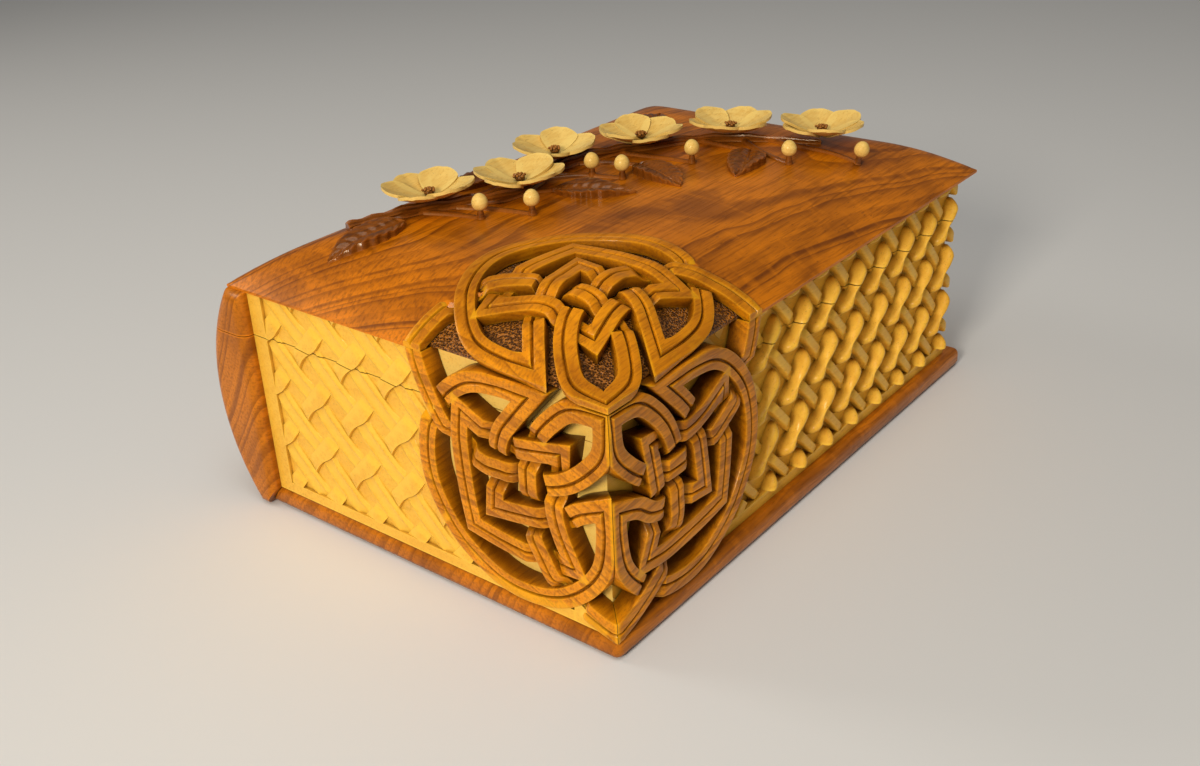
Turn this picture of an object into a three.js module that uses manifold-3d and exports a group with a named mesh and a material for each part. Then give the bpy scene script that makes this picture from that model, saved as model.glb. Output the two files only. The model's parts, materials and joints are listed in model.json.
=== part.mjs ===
// Wooden box in the form of a closed book lying flat, with a hinged lid.
// Millimetres, +Z up. The pieces are drawn from the near corner of the boards, where the tail
// face (y = 0) meets the fore-edge (x = 0): x runs negative to the spine, y positive to the head.
import * as THREE from 'three';
import { mergeVertices } from 'three/addons/utils/BufferGeometryUtils.js';
import Module from 'manifold-3d';

const wasm = await Module();
wasm.setup();

// Driving sizes of the book
const BOOK_LENGTH = 212;
const PAGES_WIDTH = 136.6;
const BLOCK_TOP = 75;
const BASE_THICKNESS = 7;
const BASE_ROUNDING = 2.5;
const SEAM_HEIGHT = 61;
const SEAM_GAP = 0.3;
const PIECE_GAP = 0.3;
const MITRE_RUN = 5;

// Page block
const TAIL_SETBACK = 0.7;
const HEAD_SETBACK = 7.8;
const FORE_SETBACK = 3.8;
const WALL = 11.3;

// Spine
const SPINE_TOP_DEPTH = 8;
const SPINE_MIDDLE_DEPTH = 20.3;
const SPINE_END_BULGE = 3;
const SPINE_ARC_STEPS = 12;

// Cover board
const COVER_SPINE_REACH = 8.4;
const COVER_ARRIS = 0.8;
const DOME_RISE = 14.4;
const DOME_ROUNDING = 37.5;
const DOME_POWER = 2.2;
const DOME_CELLS = [14, 20];

// Interlaced corner knots, drawn on a grid that reaches KNOT_GRID from the near top corner
const KNOT_GRID = 69.3;
const KNOT_FOOT = 5.7;
const BAND_WIDTH = 6.2;
const BAND_DIP = 1.5;
const BAND_EASING = 0.6;
const KNOT_DEPTH = 6;
const KNOT_GROUND = 3;
const KNOT_LIFT = 1;
const LOOP_POINTS = [
  [4, 4], [12.2, 2.9], [19.1, 8.1], [24.8, 15.4], [27.9, 24.5], [28, 37], [28, 44], [24.4, 51.5],
  [20.6, 57.2], [11.5, 62.4], [3.2, 65.4], [-8, 67.4],
];
const RING_POINTS = [[37.5, 2.9], [47.8, 4.9], [56.3, 11.2], [62.4, 19.9], [65, 30.4], [64.1, 41], [58.6, 51.6]];
const INNER_POINTS = [[32.4, 11.3], [37, 18], [39.4, 29.5]];
const INNER_CORNER = 41;
const DIAMOND_NEAR = 16.6;
const DIAMOND_SIDE = [50.6, 13.8];
const DIAMOND_FAR = 49.5;
const DIAMOND_INNER_BOW = [[27.3, 18.8], [34.5, 19.6], [42, 17.8]];
const DIAMOND_OUTER_BOW = [[51.8, 22], [51.6, 32], [50.8, 41]];
const TIP_OFFSET = 3;
const TIP_ON_COVER = 25.4;
const TIP_ON_TAIL = [28.4, 25.4];
const TIP_ON_FORE = [24.4, 29.4];
const CURVE_STEPS = 2;
const LOOP_SEARCH = 12;
const LOOP_TAIL = 6;
const RING_LEAD = 7;

// Basket weave: depths are measured inward from the wall's face, places from the near corner
const WEAVE_BORDER = 5.9;
const WEAVE_FOOT = 3.6;
const TAIL_WEAVE = {
  pitch: [18.1, 18], anchor: [113.2, 62.8], floor: 1.4, under: 0.6, over: 0.1,
  barWidth: 8, blockWidth: 7, blockLength: 15, waist: 1,
};
const FORE_WEAVE = {
  pitch: [16.9, 17.6], anchor: [-112.9, 60], floor: 2.6, under: 0.4, over: -2.4,
  barWidth: 6.2, blockWidth: 5.6, blockLength: 17.5, waist: 0.5,
};

// Hinges
const HINGE_INSET = 38;
const HINGE_LENGTH = 30;
const HINGE_LEAF_WIDTH = 13;
const HINGE_LEAF_THICKNESS = 1.2;
const HINGE_BARREL_RADIUS = 2.3;
const HINGE_PIN_RADIUS = 1;
const HINGE_RUNNING_GAP = 0.3;
const SCREW_SPREAD = 0.3;
const SCREW_INSET = 4.5;
const SCREW_HEAD_RADIUS = 2;
const SCREW_SHANK_RADIUS = 1;
const SCREW_SHARE = 0.55;
const SCREW_CLEARANCE = 0.2;

// Floral spray
const RELIEF_GAP = 0.3;
const VINE_THICKNESS = 3;
const VINE_HALF_WIDTH = 2.6;
const VINE_POINTS = [[-119, 28], [-110, 50], [-95, 76], [-101, 102], [-92, 132], [-72, 158], [-40, 172]];
const LEAF_THICKNESS = 2.2;
const LEAF_LENGTH = 27;
const LEAF_WIDTH = 11;
const LEAF_PLACES = [[-107, 40], [-114, 70], [-88, 86], [-111, 122], [-80, 121], [-96, 150], [-56, 152]];
const LEAF_TURNS_DEG = [-100, 100, 25, 150, -25, 120, -65];
const BLOSSOM_RADIUS = 14.5;
const BLOSSOM_THICKNESS = 1.4;
const BLOSSOM_CUP = 4.5;
const BLOSSOM_PETALS = 6;
const BLOSSOM_SEAT = 3.4;
const BLOSSOMS = [[-110, 54], [-95, 79], [-104, 107], [-89, 135], [-69, 160], [-40, 172]];
const CENTRE_RADIUS = 2.3;
const BERRY_RADIUS = 2.5;
const BERRY_STALK = 3.4;
const BERRY_STALK_RADIUS = 0.9;
const BERRIES = [[-90, 55], [-79, 66], [-86, 104], [-76, 107], [-66, 132], [-38, 147], [-22, 164]];

// Places worked out from the sizes above
const COVER_WIDTH = PAGES_WIDTH + COVER_SPINE_REACH;
const COVER_BOTTOM = BLOCK_TOP;
const TAIL_FACE = TAIL_SETBACK;
const HEAD_FACE = BOOK_LENGTH - HEAD_SETBACK;
const FORE_FACE = -FORE_SETBACK;
const SEAM_BELOW = SEAM_HEIGHT - SEAM_GAP / 2;
const SEAM_ABOVE = SEAM_HEIGHT + SEAM_GAP / 2;
const KNOT_SCALE = (BLOCK_TOP - KNOT_FOOT) / KNOT_GRID;
const HALF_BAND = BAND_WIDTH / 2;
const LID_DEPTH = BLOCK_TOP - SEAM_HEIGHT;
const HINGE_PLACES = [HINGE_INSET, BOOK_LENGTH - HINGE_INSET];
const SCREW_LENGTH = LID_DEPTH * SCREW_SHARE;
const FAR = 400;

const MATERIALS = {
  walnut: { color: 0x7a4419, roughness: 0.42, metalness: 0 },
  walnut_dark: { color: 0x4a2810, roughness: 0.38, metalness: 0 },
  pale_wood: { color: 0xe3bb62, roughness: 0.5, metalness: 0 },
  blossom_wood: { color: 0xe6c777, roughness: 0.5, metalness: 0 },
  brass: { color: 0xb08d45, roughness: 0.35, metalness: 1 },
};

// Turns a three.js geometry into a manifold solid
function solid(geometry) {
  const bare = geometry.clone();
  bare.deleteAttribute('normal');
  bare.deleteAttribute('uv');
  const merged = mergeVertices(bare, 1e-4);
  const corners = merged.index.array;
  const kept = [];
  for (let index = 0; index < corners.length; index += 3) {
    const [a, b, c] = corners.slice(index, index + 3);
    if (a !== b && b !== c && c !== a) kept.push(a, b, c);
  }
  const mesh = new wasm.Mesh({
    numProp: 3,
    vertProperties: merged.attributes.position.array,
    triVerts: Uint32Array.from(kept),
  });
  return new wasm.Manifold(mesh);
}

function union(solids) {
  return solids.reduce((sum, item) => sum.add(item));
}

function box(low, high) {
  const size = high.map((value, axis) => value - low[axis]);
  const geometry = new THREE.BoxGeometry(...size);
  geometry.translate(...low.map((value, axis) => value + size[axis] / 2));
  return solid(geometry);
}

// An outline extruded from one local depth to another, then carried by a matrix
function prism(outline, from, to, matrix = new THREE.Matrix4()) {
  const points = outline.map(([x, y]) => new THREE.Vector2(x, y));
  const geometry = new THREE.ExtrudeGeometry(new THREE.Shape(points), {
    depth: to - from,
    bevelEnabled: false,
    steps: 1,
  });
  geometry.translate(0, 0, from);
  geometry.applyMatrix4(matrix);
  return solid(geometry);
}

// A cylinder along Y
function rod(radius, x, z, yFrom, yTo, sides = 16) {
  const geometry = new THREE.CylinderGeometry(radius, radius, yTo - yFrom, sides);
  geometry.translate(x, (yFrom + yTo) / 2, z);
  return solid(geometry);
}

// Local frames of the three knots: along one edge, along the other edge, and inward
function frame(along, across, inward) {
  const matrix = new THREE.Matrix4();
  matrix.makeBasis(new THREE.Vector3(...along), new THREE.Vector3(...across), new THREE.Vector3(...inward));
  matrix.setPosition(0, 0, BLOCK_TOP);
  return matrix;
}

const FRAMES = {
  cover: frame([-1, 0, 0], [0, 1, 0], [0, 0, -1]),
  tail: frame([0, 0, -1], [-1, 0, 0], [0, 1, 0]),
  fore: frame([0, 1, 0], [0, 0, -1], [-1, 0, 0]),
};

function mirrored(points) {
  return points.map(([a, b]) => [b, a]);
}

// A smooth line through hand-chosen points, as a list of points
function smooth(points, steps = CURVE_STEPS) {
  const curve = new THREE.SplineCurve(points.map(([a, b]) => new THREE.Vector2(a, b)));
  return curve.getPoints((points.length - 1) * steps).map((point) => [point.x, point.y]);
}

// The lines of one knot: two halves of the corner loop, the ring with its inner return, the diamond.
// The ring's two tips lie on the two edges, at the given distances from the corner.
function knotLines([tipAlong, tipAcross]) {
  const first = [tipAlong, TIP_OFFSET];
  const second = [TIP_OFFSET, tipAcross];
  const corner = [[INNER_CORNER, INNER_CORNER]];
  const near = [DIAMOND_NEAR, DIAMOND_NEAR];
  const side = DIAMOND_SIDE;
  const otherSide = [side[1], side[0]];
  const far = [DIAMOND_FAR, DIAMOND_FAR];
  const ring = smooth([first, ...RING_POINTS, ...mirrored(RING_POINTS).reverse(), second]);
  const innerOut = smooth([first, ...INNER_POINTS, ...corner]);
  const innerBack = smooth([...corner, ...mirrored(INNER_POINTS).reverse(), second]);
  const diamond = [
    smooth([near, ...DIAMOND_INNER_BOW, side]),
    smooth([side, ...DIAMOND_OUTER_BOW, far]),
    smooth([far, ...mirrored(DIAMOND_OUTER_BOW).reverse(), otherSide]),
    smooth([otherSide, ...mirrored(DIAMOND_INNER_BOW).reverse(), near]),
  ];
  const lines = {
    loop: smooth(LOOP_POINTS),
    otherLoop: smooth(mirrored(LOOP_POINTS)),
    ring,
    inner: [...innerOut, ...innerBack.slice(1)],
    diamond: diamond.flatMap((part) => part.slice(1)),
  };
  for (const name of Object.keys(lines)) {
    lines[name] = lines[name].map(([a, b]) => [a * KNOT_SCALE, b * KNOT_SCALE]);
  }
  return lines;
}

function subtract2([a, b], [c, d]) {
  return [a - c, b - d];
}

function unit([a, b]) {
  const length = Math.hypot(a, b);
  return [a / length, b / length];
}

// Takes out the small loops that a side line makes at a tight inner corner
function withoutLoops(line, closed) {
  const kept = [...line];
  const last = closed ? 0 : 1;
  for (let i = 0; i < kept.length - last; i += 1) {
    for (let ahead = Math.min(LOOP_SEARCH, kept.length - 3); ahead >= 2; ahead -= 1) {
      const j = i + ahead;
      if (!closed && j + 1 >= kept.length) continue;
      const at = (index) => kept[index % kept.length];
      const hit = meeting(at(i), at(i + 1), at(j), at(j + 1));
      if (!hit) continue;
      const doomed = Array.from({ length: ahead }, (_, step) => (i + 1 + step) % kept.length);
      kept[doomed[0]] = hit.point;
      const gone = new Set(doomed.slice(1));
      return withoutLoops(kept.filter((_, index) => !gone.has(index)), closed);
    }
  }
  return kept;
}

// Where one stretch of line meets another, with the shares of both, or nothing
function meeting(start, end, otherStart, otherEnd) {
  const own = subtract2(end, start);
  const their = subtract2(otherEnd, otherStart);
  const cross = own[0] * their[1] - own[1] * their[0];
  const gap = subtract2(otherStart, start);
  const share = (gap[0] * their[1] - gap[1] * their[0]) / cross;
  const otherShare = (gap[0] * own[1] - gap[1] * own[0]) / cross;
  if (!(share >= 0 && share < 1 && otherShare >= 0 && otherShare < 1)) return null;
  return { share, own, their, point: [start[0] + own[0] * share, start[1] + own[1] * share] };
}

// The side line of a band, with mitred corners
function offsetLine(line, distance, closed) {
  const count = line.length;
  return line.map((point, index) => {
    const before = line[closed ? (index + count - 1) % count : Math.max(index - 1, 0)];
    const after = line[closed ? (index + 1) % count : Math.min(index + 1, count - 1)];
    const incoming = index === 0 && !closed ? unit(subtract2(after, point)) : unit(subtract2(point, before));
    const outgoing = index === count - 1 && !closed ? incoming : unit(subtract2(after, point));
    const normalIn = [-incoming[1], incoming[0]];
    const normalOut = [-outgoing[1], outgoing[0]];
    const middle = unit([normalIn[0] + normalOut[0], normalIn[1] + normalOut[1]]);
    const reach = distance / (middle[0] * normalIn[0] + middle[1] * normalIn[1]);
    return [point[0] + middle[0] * reach, point[1] + middle[1] * reach];
  });
}

// A band along an open line, extruded in its face's frame
function band(line, halfWidth, from, to, matrix) {
  const left = withoutLoops(offsetLine(line, halfWidth, false), false);
  const right = withoutLoops(offsetLine(line, -halfWidth, false), false);
  return prism([...left, ...right.reverse()], from, to, matrix);
}

// A band along a closed line, as its outer outline less its inner one
function closedBand(line, halfWidth, from, to, matrix) {
  const outlines = [halfWidth, -halfWidth].map((side) => withoutLoops(offsetLine(line, side, true), true));
  const areas = outlines.map((outline) => Math.abs(THREE.ShapeUtils.area(outline.map(([x, y]) => ({ x, y })))));
  const outer = areas[0] > areas[1] ? 0 : 1;
  const hole = prism(outlines[1 - outer], from - 1, to + 1, matrix);
  return prism(outlines[outer], from, to, matrix).subtract(hole);
}

// Where two lines cross, as places along the first line
function crossings(line, other, name) {
  const found = [];
  for (let i = 0; i < line.length - 1; i += 1) {
    for (let j = 0; j < other.length - 1; j += 1) {
      const hit = meeting(line[i], line[i + 1], other[j], other[j + 1]);
      if (hit && i + hit.share > 0.5) {
        found.push({ along: i + hit.share, name, point: hit.point, own: unit(hit.own), their: unit(hit.their) });
      }
    }
  }
  return found;
}

// The plan of the interlace: for each line, the places where it dips under another.
// Every line passes over and under in turn.
function dips(lines) {
  const places = { loop: [], otherLoop: [], ring: [], inner: [], diamond: [] };
  const closedDiamond = [...lines.diamond, lines.diamond[0]];
  const walks = [
    { name: 'loop', over: true, meets: ['otherLoop', 'inner', 'diamond', 'ring'] },
    { name: 'otherLoop', over: false, meets: ['loop', 'inner', 'diamond', 'ring'] },
    { name: 'inner', over: false, meets: ['loop', 'otherLoop', 'diamond'] },
  ];
  for (const { name, over, meets } of walks) {
    const met = meets.flatMap((other) => (
      crossings(lines[name], other === 'diamond' ? closedDiamond : lines[other], other)
    ));
    met.sort((one, two) => one.along - two.along);
    met.forEach(({ name: other, point, own, their }, index) => {
      const passesOver = (index % 2 === 0) === over;
      const lower = passesOver ? other : name;
      places[lower].push({ point, direction: passesOver ? own : their });
    });
  }
  return places;
}

// The room that a band passing over another takes out of it
function dipCutter({ point, direction }, from, to, matrix) {
  const half = BAND_WIDTH * KNOT_SCALE / 2 + BAND_EASING;
  const reach = BAND_WIDTH * KNOT_SCALE;
  const [dx, dy] = direction;
  const corners = [[1, 1], [-1, 1], [-1, -1], [1, -1]].map(([s, t]) => [
    point[0] + dx * s * reach - dy * t * half,
    point[1] + dy * s * reach + dx * t * half,
  ]);
  return prism(corners, from, to, matrix);
}

// One knot as solids: its whole bands, and its bands with the dips taken out
function knotSolids(tips, matrix, { upperSpan, wholeSpan, roomSpan }) {
  const lines = knotLines(tips);
  const half = HALF_BAND * KNOT_SCALE;
  const places = dips(lines);
  const draw = (name, span, width = half) => (
    name === 'diamond' ? closedBand(lines[name], width, ...span, matrix) : band(lines[name], width, ...span, matrix)
  );
  const rim = [...lines.ring, ...[...lines.inner].reverse().slice(1, -1)];
  const drawRim = ([low, high]) => closedBand(rim, half, low, high, matrix);
  const names = ['loop', 'otherLoop', 'diamond'];
  const whole = union([...names.map((name) => draw(name, wholeSpan)), drawRim(wholeSpan)]);
  const cut = (shape, dipPlaces) => dipPlaces.reduce(
    (rest, place) => rest.subtract(dipCutter(place, upperSpan[0] - 1, upperSpan[1] + 1, matrix)),
    shape,
  );
  const upper = union([
    ...names.map((name) => cut(draw(name, upperSpan), places[name])),
    cut(drawRim(upperSpan), [...places.ring, ...places.inner]),
  ]);
  const edgeFirst = lines.otherLoop.slice(-LOOP_TAIL).reverse();
  const edgeSecond = lines.loop.slice(-LOOP_TAIL);
  const outline = [[-FAR, -FAR], ...edgeFirst, ...lines.ring.slice(RING_LEAD, -RING_LEAD), ...edgeSecond];
  const rimWidth = half + PIECE_GAP;
  const room = union([
    prism(outline, ...roomSpan, matrix),
    draw('loop', roomSpan, rimWidth),
    draw('otherLoop', roomSpan, rimWidth),
    band(lines.ring.slice(2, -2), rimWidth, ...roomSpan, matrix),
  ]);
  return { whole, upper, room };
}

// Share of the dome's rise at a distance from one edge of the cover
function edgeShare(distance) {
  const inset = Math.min(Math.max(distance / DOME_ROUNDING, 0), 1);
  return 1 - (1 - inset) ** DOME_POWER;
}

function domeTop(x, y) {
  const shares = [-x, x + COVER_WIDTH, y, BOOK_LENGTH - y].map(edgeShare);
  return COVER_BOTTOM + COVER_ARRIS + DOME_RISE * shares.reduce((product, share) => product * share, 1);
}

// The cover's block under its domed top, lifted or lowered by some millimetres
function domeBlock(bottom, lift = 0) {
  const geometry = new THREE.BoxGeometry(COVER_WIDTH, BOOK_LENGTH, 1, DOME_CELLS[0], DOME_CELLS[1], 1);
  geometry.translate(-COVER_WIDTH / 2, BOOK_LENGTH / 2, 0);
  const place = geometry.attributes.position;
  const crowd = (value, length) => {
    const share = value / length;
    return length * (0.4 * share + 0.6 * (0.5 - 0.5 * Math.cos(Math.PI * share)));
  };
  for (let index = 0; index < place.count; index += 1) {
    const x = -crowd(-place.getX(index), COVER_WIDTH);
    const y = crowd(place.getY(index), BOOK_LENGTH);
    const top = domeTop(x, y) + lift;
    place.setXYZ(index, x, y, place.getZ(index) > 0 ? top : bottom);
  }
  return solid(geometry);
}

// Base board, rounded all round, with its spine side mitred to the spine
function baseBoard() {
  const width = PAGES_WIDTH + MITRE_RUN;
  const shape = new THREE.Shape([
    new THREE.Vector2(-width - BASE_THICKNESS, 0),
    new THREE.Vector2(0, 0),
    new THREE.Vector2(0, BOOK_LENGTH),
    new THREE.Vector2(-width - BASE_THICKNESS, BOOK_LENGTH),
  ]);
  const geometry = new THREE.ExtrudeGeometry(shape, {
    depth: BASE_THICKNESS - 2 * BASE_ROUNDING,
    bevelEnabled: true,
    bevelThickness: BASE_ROUNDING,
    bevelSize: BASE_ROUNDING,
    bevelOffset: -BASE_ROUNDING,
    bevelSegments: 3,
    steps: 1,
  });
  geometry.translate(0, 0, BASE_ROUNDING);
  return solid(geometry).subtract(spineSide(PIECE_GAP / 2));
}

// Everything on the spine's side of the mitre, from the table up
function spineSide(gap) {
  const outline = [
    [-PAGES_WIDTH - MITRE_RUN + gap, -1], [-PAGES_WIDTH - MITRE_RUN + gap, 0],
    [-PAGES_WIDTH + gap, BASE_THICKNESS], [-PAGES_WIDTH + gap, FAR], [-FAR, FAR], [-FAR, -1],
  ];
  return prism(outline, -FAR, FAR, uprightAlongY());
}

// A frame whose outlines stand in the XZ plane and extrude along +Y
function uprightAlongY() {
  const matrix = new THREE.Matrix4();
  matrix.makeBasis(new THREE.Vector3(1, 0, 0), new THREE.Vector3(0, 0, 1), new THREE.Vector3(0, -1, 0));
  return matrix;
}

// The spine as one rounded bar, its ends domed
function spineBar() {
  const height = BLOCK_TOP;
  const sagitta = SPINE_MIDDLE_DEPTH - SPINE_TOP_DEPTH;
  const radius = (height * height / 4 + sagitta * sagitta) / (2 * sagitta);
  const halfAngle = Math.asin(height / 2 / radius);
  const points = [new THREE.Vector2(0, 0)];
  for (let step = 0; step <= SPINE_ARC_STEPS; step += 1) {
    const angle = halfAngle * (2 * step / SPINE_ARC_STEPS - 1);
    const depth = SPINE_MIDDLE_DEPTH - radius * (1 - Math.cos(angle));
    points.push(new THREE.Vector2(-depth, height / 2 + radius * Math.sin(angle)));
  }
  points.push(new THREE.Vector2(0, height));
  const geometry = new THREE.ExtrudeGeometry(new THREE.Shape(points.reverse()), {
    depth: BOOK_LENGTH,
    bevelEnabled: true,
    bevelThickness: SPINE_END_BULGE,
    bevelSize: SPINE_END_BULGE,
    bevelOffset: -SPINE_END_BULGE,
    bevelSegments: 3,
    steps: 1,
  });
  geometry.applyMatrix4(uprightAlongY());
  geometry.translate(-PAGES_WIDTH, BOOK_LENGTH, 0);
  return solid(geometry).intersect(spineSide(-PIECE_GAP / 2));
}

// Depth of the spine's back at a height
function spineDepth(height) {
  const sagitta = SPINE_MIDDLE_DEPTH - SPINE_TOP_DEPTH;
  const radius = (BLOCK_TOP * BLOCK_TOP / 4 + sagitta * sagitta) / (2 * sagitta);
  const offset = height - BLOCK_TOP / 2;
  return SPINE_MIDDLE_DEPTH - radius + Math.sqrt(radius * radius - offset * offset);
}

// A raised block of the weave, waisted in the middle. Seen from outside it rises to the right.
function weaveBlock([u, v], look, matrix) {
  const [half, wide] = [look.blockLength / 2, look.blockWidth / 2];
  const outline = [
    [-half, -wide], [0, -wide * look.waist], [half, -wide],
    [half, wide], [0, wide * look.waist], [-half, wide],
  ];
  const turned = outline.map(([a, b]) => [u + (b - a) * Math.SQRT1_2, v + (a + b) * Math.SQRT1_2]);
  return prism(turned, look.over, look.floor + 1, matrix);
}

// A bar of the weave that runs under the blocks, through one place of the lattice
function weaveBar([u, v], look, reach, matrix) {
  const [pitchU, pitchV] = look.pitch;
  const slope = pitchV / pitchU;
  const half = look.barWidth / 2 * Math.hypot(1, slope);
  const outline = [
    [u - reach, v - reach * slope - half], [u + reach, v + reach * slope - half],
    [u + reach, v + reach * slope + half], [u - reach, v - reach * slope + half],
  ];
  return prism(outline, look.under, look.floor + 1, matrix);
}

// The raised weave over a panel, on a lattice anchored at one block
function weaveRelief(look, [[uLow, vLow], [uHigh, vHigh]], matrix) {
  const [pitchU, pitchV] = look.pitch;
  const columns = [uLow, uHigh].map((edge) => (edge - look.anchor[0]) / pitchU);
  const rows = [vLow, vHigh].map((edge) => (edge - look.anchor[1]) / pitchV);
  const solids = [];
  const spread = Math.ceil(rows[1] - rows[0]);
  for (let column = Math.floor(columns[0]) - spread; column <= columns[1] + spread; column += 1) {
    const foot = [look.anchor[0] + column * pitchU, look.anchor[1]];
    solids.push(weaveBar(foot, look, uHigh - uLow, matrix));
  }
  for (let column = Math.floor(columns[0]); column <= Math.ceil(columns[1]); column += 1) {
    for (let row = Math.floor(rows[0]); row <= Math.ceil(rows[1]); row += 1) {
      const centre = [look.anchor[0] + column * pitchU, look.anchor[1] + row * pitchV];
      solids.push(weaveBlock(centre, look, matrix));
    }
  }
  return union(solids);
}

// A wall of the page block with its weave carved in a panel. The panel's frame runs along the
// wall, up, and inward from the wall's outer face.
function wovenWall(slab, look, panel, matrix) {
  const [[low, foot], [high, top]] = panel;
  const outline = [[low, foot], [high, foot], [high, top], [low, top]];
  const pocket = prism(outline, -1, look.floor, matrix);
  const window = prism(outline, look.over - 1, look.floor + 1, matrix);
  return slab.subtract(pocket).add(weaveRelief(look, panel, matrix).intersect(window));
}

// A wall panel's frame, from its run, its inward direction and a point on its outer face
function panelFrame(along, inward, origin) {
  const matrix = new THREE.Matrix4();
  matrix.makeBasis(new THREE.Vector3(...along), new THREE.Vector3(0, 0, 1), new THREE.Vector3(...inward));
  matrix.setPosition(...origin);
  return matrix;
}

// Splits a piece at the lid's cut
function below(piece) {
  return piece.intersect(box([-FAR, -FAR, -FAR], [FAR, FAR, SEAM_BELOW]));
}

function above(piece) {
  return piece.intersect(box([-FAR, -FAR, SEAM_ABOVE], [FAR, FAR, FAR]));
}

// Hinges, drawn closed: both leaves lie flat in the cut, the barrel at the spine's back
const HINGE_AXIS_X = -PAGES_WIDTH - spineDepth(SEAM_HEIGHT);

function hingeRoom() {
  const reach = HINGE_LENGTH / 2 + HINGE_RUNNING_GAP + 0.5;
  const leafEnd = HINGE_AXIS_X + HINGE_LEAF_WIDTH + HINGE_RUNNING_GAP;
  const half = SEAM_GAP / 2 + HINGE_LEAF_THICKNESS + HINGE_RUNNING_GAP / 2;
  return union(HINGE_PLACES.flatMap((place) => [
    rod(HINGE_BARREL_RADIUS + HINGE_RUNNING_GAP, HINGE_AXIS_X, SEAM_HEIGHT, place - reach, place + reach),
    box([HINGE_AXIS_X, place - reach, SEAM_HEIGHT - half], [leafEnd, place + reach, SEAM_HEIGHT + half]),
  ]));
}

function screwPlaces(place) {
  const row = HINGE_AXIS_X + HINGE_LEAF_WIDTH - SCREW_INSET;
  return [-SCREW_SPREAD, SCREW_SPREAD].map((share) => [row, place + share * HINGE_LENGTH]);
}

// A countersunk screw whose head lies in the leaf; direction is -1 down and 1 up
function screw([x, y], direction, growth = 0) {
  const head = SCREW_HEAD_RADIUS + growth;
  const shank = SCREW_SHANK_RADIUS + growth;
  const outline = [
    [0, 0], [head, 0], [shank, HINGE_LEAF_THICKNESS], [shank, SCREW_LENGTH - 1 + growth],
    [0, SCREW_LENGTH + growth],
  ];
  const geometry = new THREE.LatheGeometry(outline.map(([r, z]) => new THREE.Vector2(r, z)), 10);
  geometry.rotateX(direction > 0 ? Math.PI / 2 : -Math.PI / 2);
  geometry.translate(x, y, SEAM_HEIGHT + direction * SEAM_GAP / 2);
  return solid(geometry);
}

// One leaf with its knuckles: knuckle spans are given along the hinge
function hingeLeaf(place, direction, spans) {
  const inner = SEAM_HEIGHT + direction * SEAM_GAP / 2;
  const outer = inner + direction * HINGE_LEAF_THICKNESS;
  const edge = HINGE_AXIS_X + HINGE_LEAF_WIDTH;
  const half = HINGE_LENGTH / 2;
  const low = Math.min(inner, outer);
  const high = Math.max(inner, outer);
  const whole = box([HINGE_AXIS_X, place - half, low], [edge, place + half, high]);
  const clear = HINGE_BARREL_RADIUS + HINGE_RUNNING_GAP;
  const barrelRoom = rod(clear, HINGE_AXIS_X, SEAM_HEIGHT, place - half - 1, place + half + 1);
  const knuckles = spans.map(([from, to]) => {
    const [yFrom, yTo] = [place + from, place + to];
    const neck = box([HINGE_AXIS_X, yFrom, low], [HINGE_AXIS_X + clear + 1, yTo, high]);
    return rod(HINGE_BARREL_RADIUS, HINGE_AXIS_X, SEAM_HEIGHT, yFrom, yTo).add(neck);
  });
  const bore = rod(HINGE_PIN_RADIUS + HINGE_RUNNING_GAP, HINGE_AXIS_X, SEAM_HEIGHT, place - half - 1, place + half + 1);
  const holes = screwPlaces(place).map((spot) => screw(spot, direction, SCREW_CLEARANCE));
  return union([whole.subtract(barrelRoom), ...knuckles]).subtract(bore).subtract(union(holes));
}

// Floral spray
function onCover(outline, thickness) {
  const blank = prism(outline, COVER_BOTTOM, COVER_BOTTOM + DOME_RISE * 3);
  return blank.intersect(domeBlock(COVER_BOTTOM, RELIEF_GAP + thickness)).subtract(domeBlock(COVER_BOTTOM - 1, RELIEF_GAP));
}

function vine(halfWidth) {
  const line = smooth(VINE_POINTS, 3);
  const left = [];
  const right = [];
  offsetLine(line, 1, false).forEach(([x, y], index) => {
    const share = index / (line.length - 1);
    const half = halfWidth * (0.35 + 0.65 * Math.sin(Math.PI * Math.min(share + 0.25, 1)));
    const [dx, dy] = [x - line[index][0], y - line[index][1]];
    left.push([line[index][0] + dx * half, line[index][1] + dy * half]);
    right.push([line[index][0] - dx * half, line[index][1] - dy * half]);
  });
  return onCover([...right, ...left.reverse()], VINE_THICKNESS);
}

function leaf(at, turn) {
  const angle = THREE.MathUtils.degToRad(turn);
  const steps = 7;
  const side = (sign) => Array.from({ length: steps - 1 }, (_, index) => {
    const share = (index + 1) / steps;
    return [LEAF_LENGTH * share, sign * LEAF_WIDTH / 2 * Math.sin(Math.PI * share ** 0.8)];
  });
  const outline = [[0, 0], ...side(-1), [LEAF_LENGTH, 0], ...side(1).reverse()];
  const placed = outline.map(([a, b]) => [
    at[0] + a * Math.cos(angle) - b * Math.sin(angle),
    at[1] + a * Math.sin(angle) + b * Math.cos(angle),
  ]);
  return onCover(placed, LEAF_THICKNESS);
}

// Puts a piece drawn upright at the origin on the cover, square to the dome
function seat(geometry, [x, y], height) {
  const step = 1;
  const slopeX = (domeTop(x + step, y) - domeTop(x - step, y)) / (2 * step);
  const slopeY = (domeTop(x, y + step) - domeTop(x, y - step)) / (2 * step);
  const normal = new THREE.Vector3(-slopeX, -slopeY, 1).normalize();
  const turn = new THREE.Quaternion().setFromUnitVectors(new THREE.Vector3(0, 0, 1), normal);
  geometry.applyQuaternion(turn);
  geometry.translate(x + normal.x * height, y + normal.y * height, domeTop(x, y) + normal.z * height);
  return geometry;
}

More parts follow.
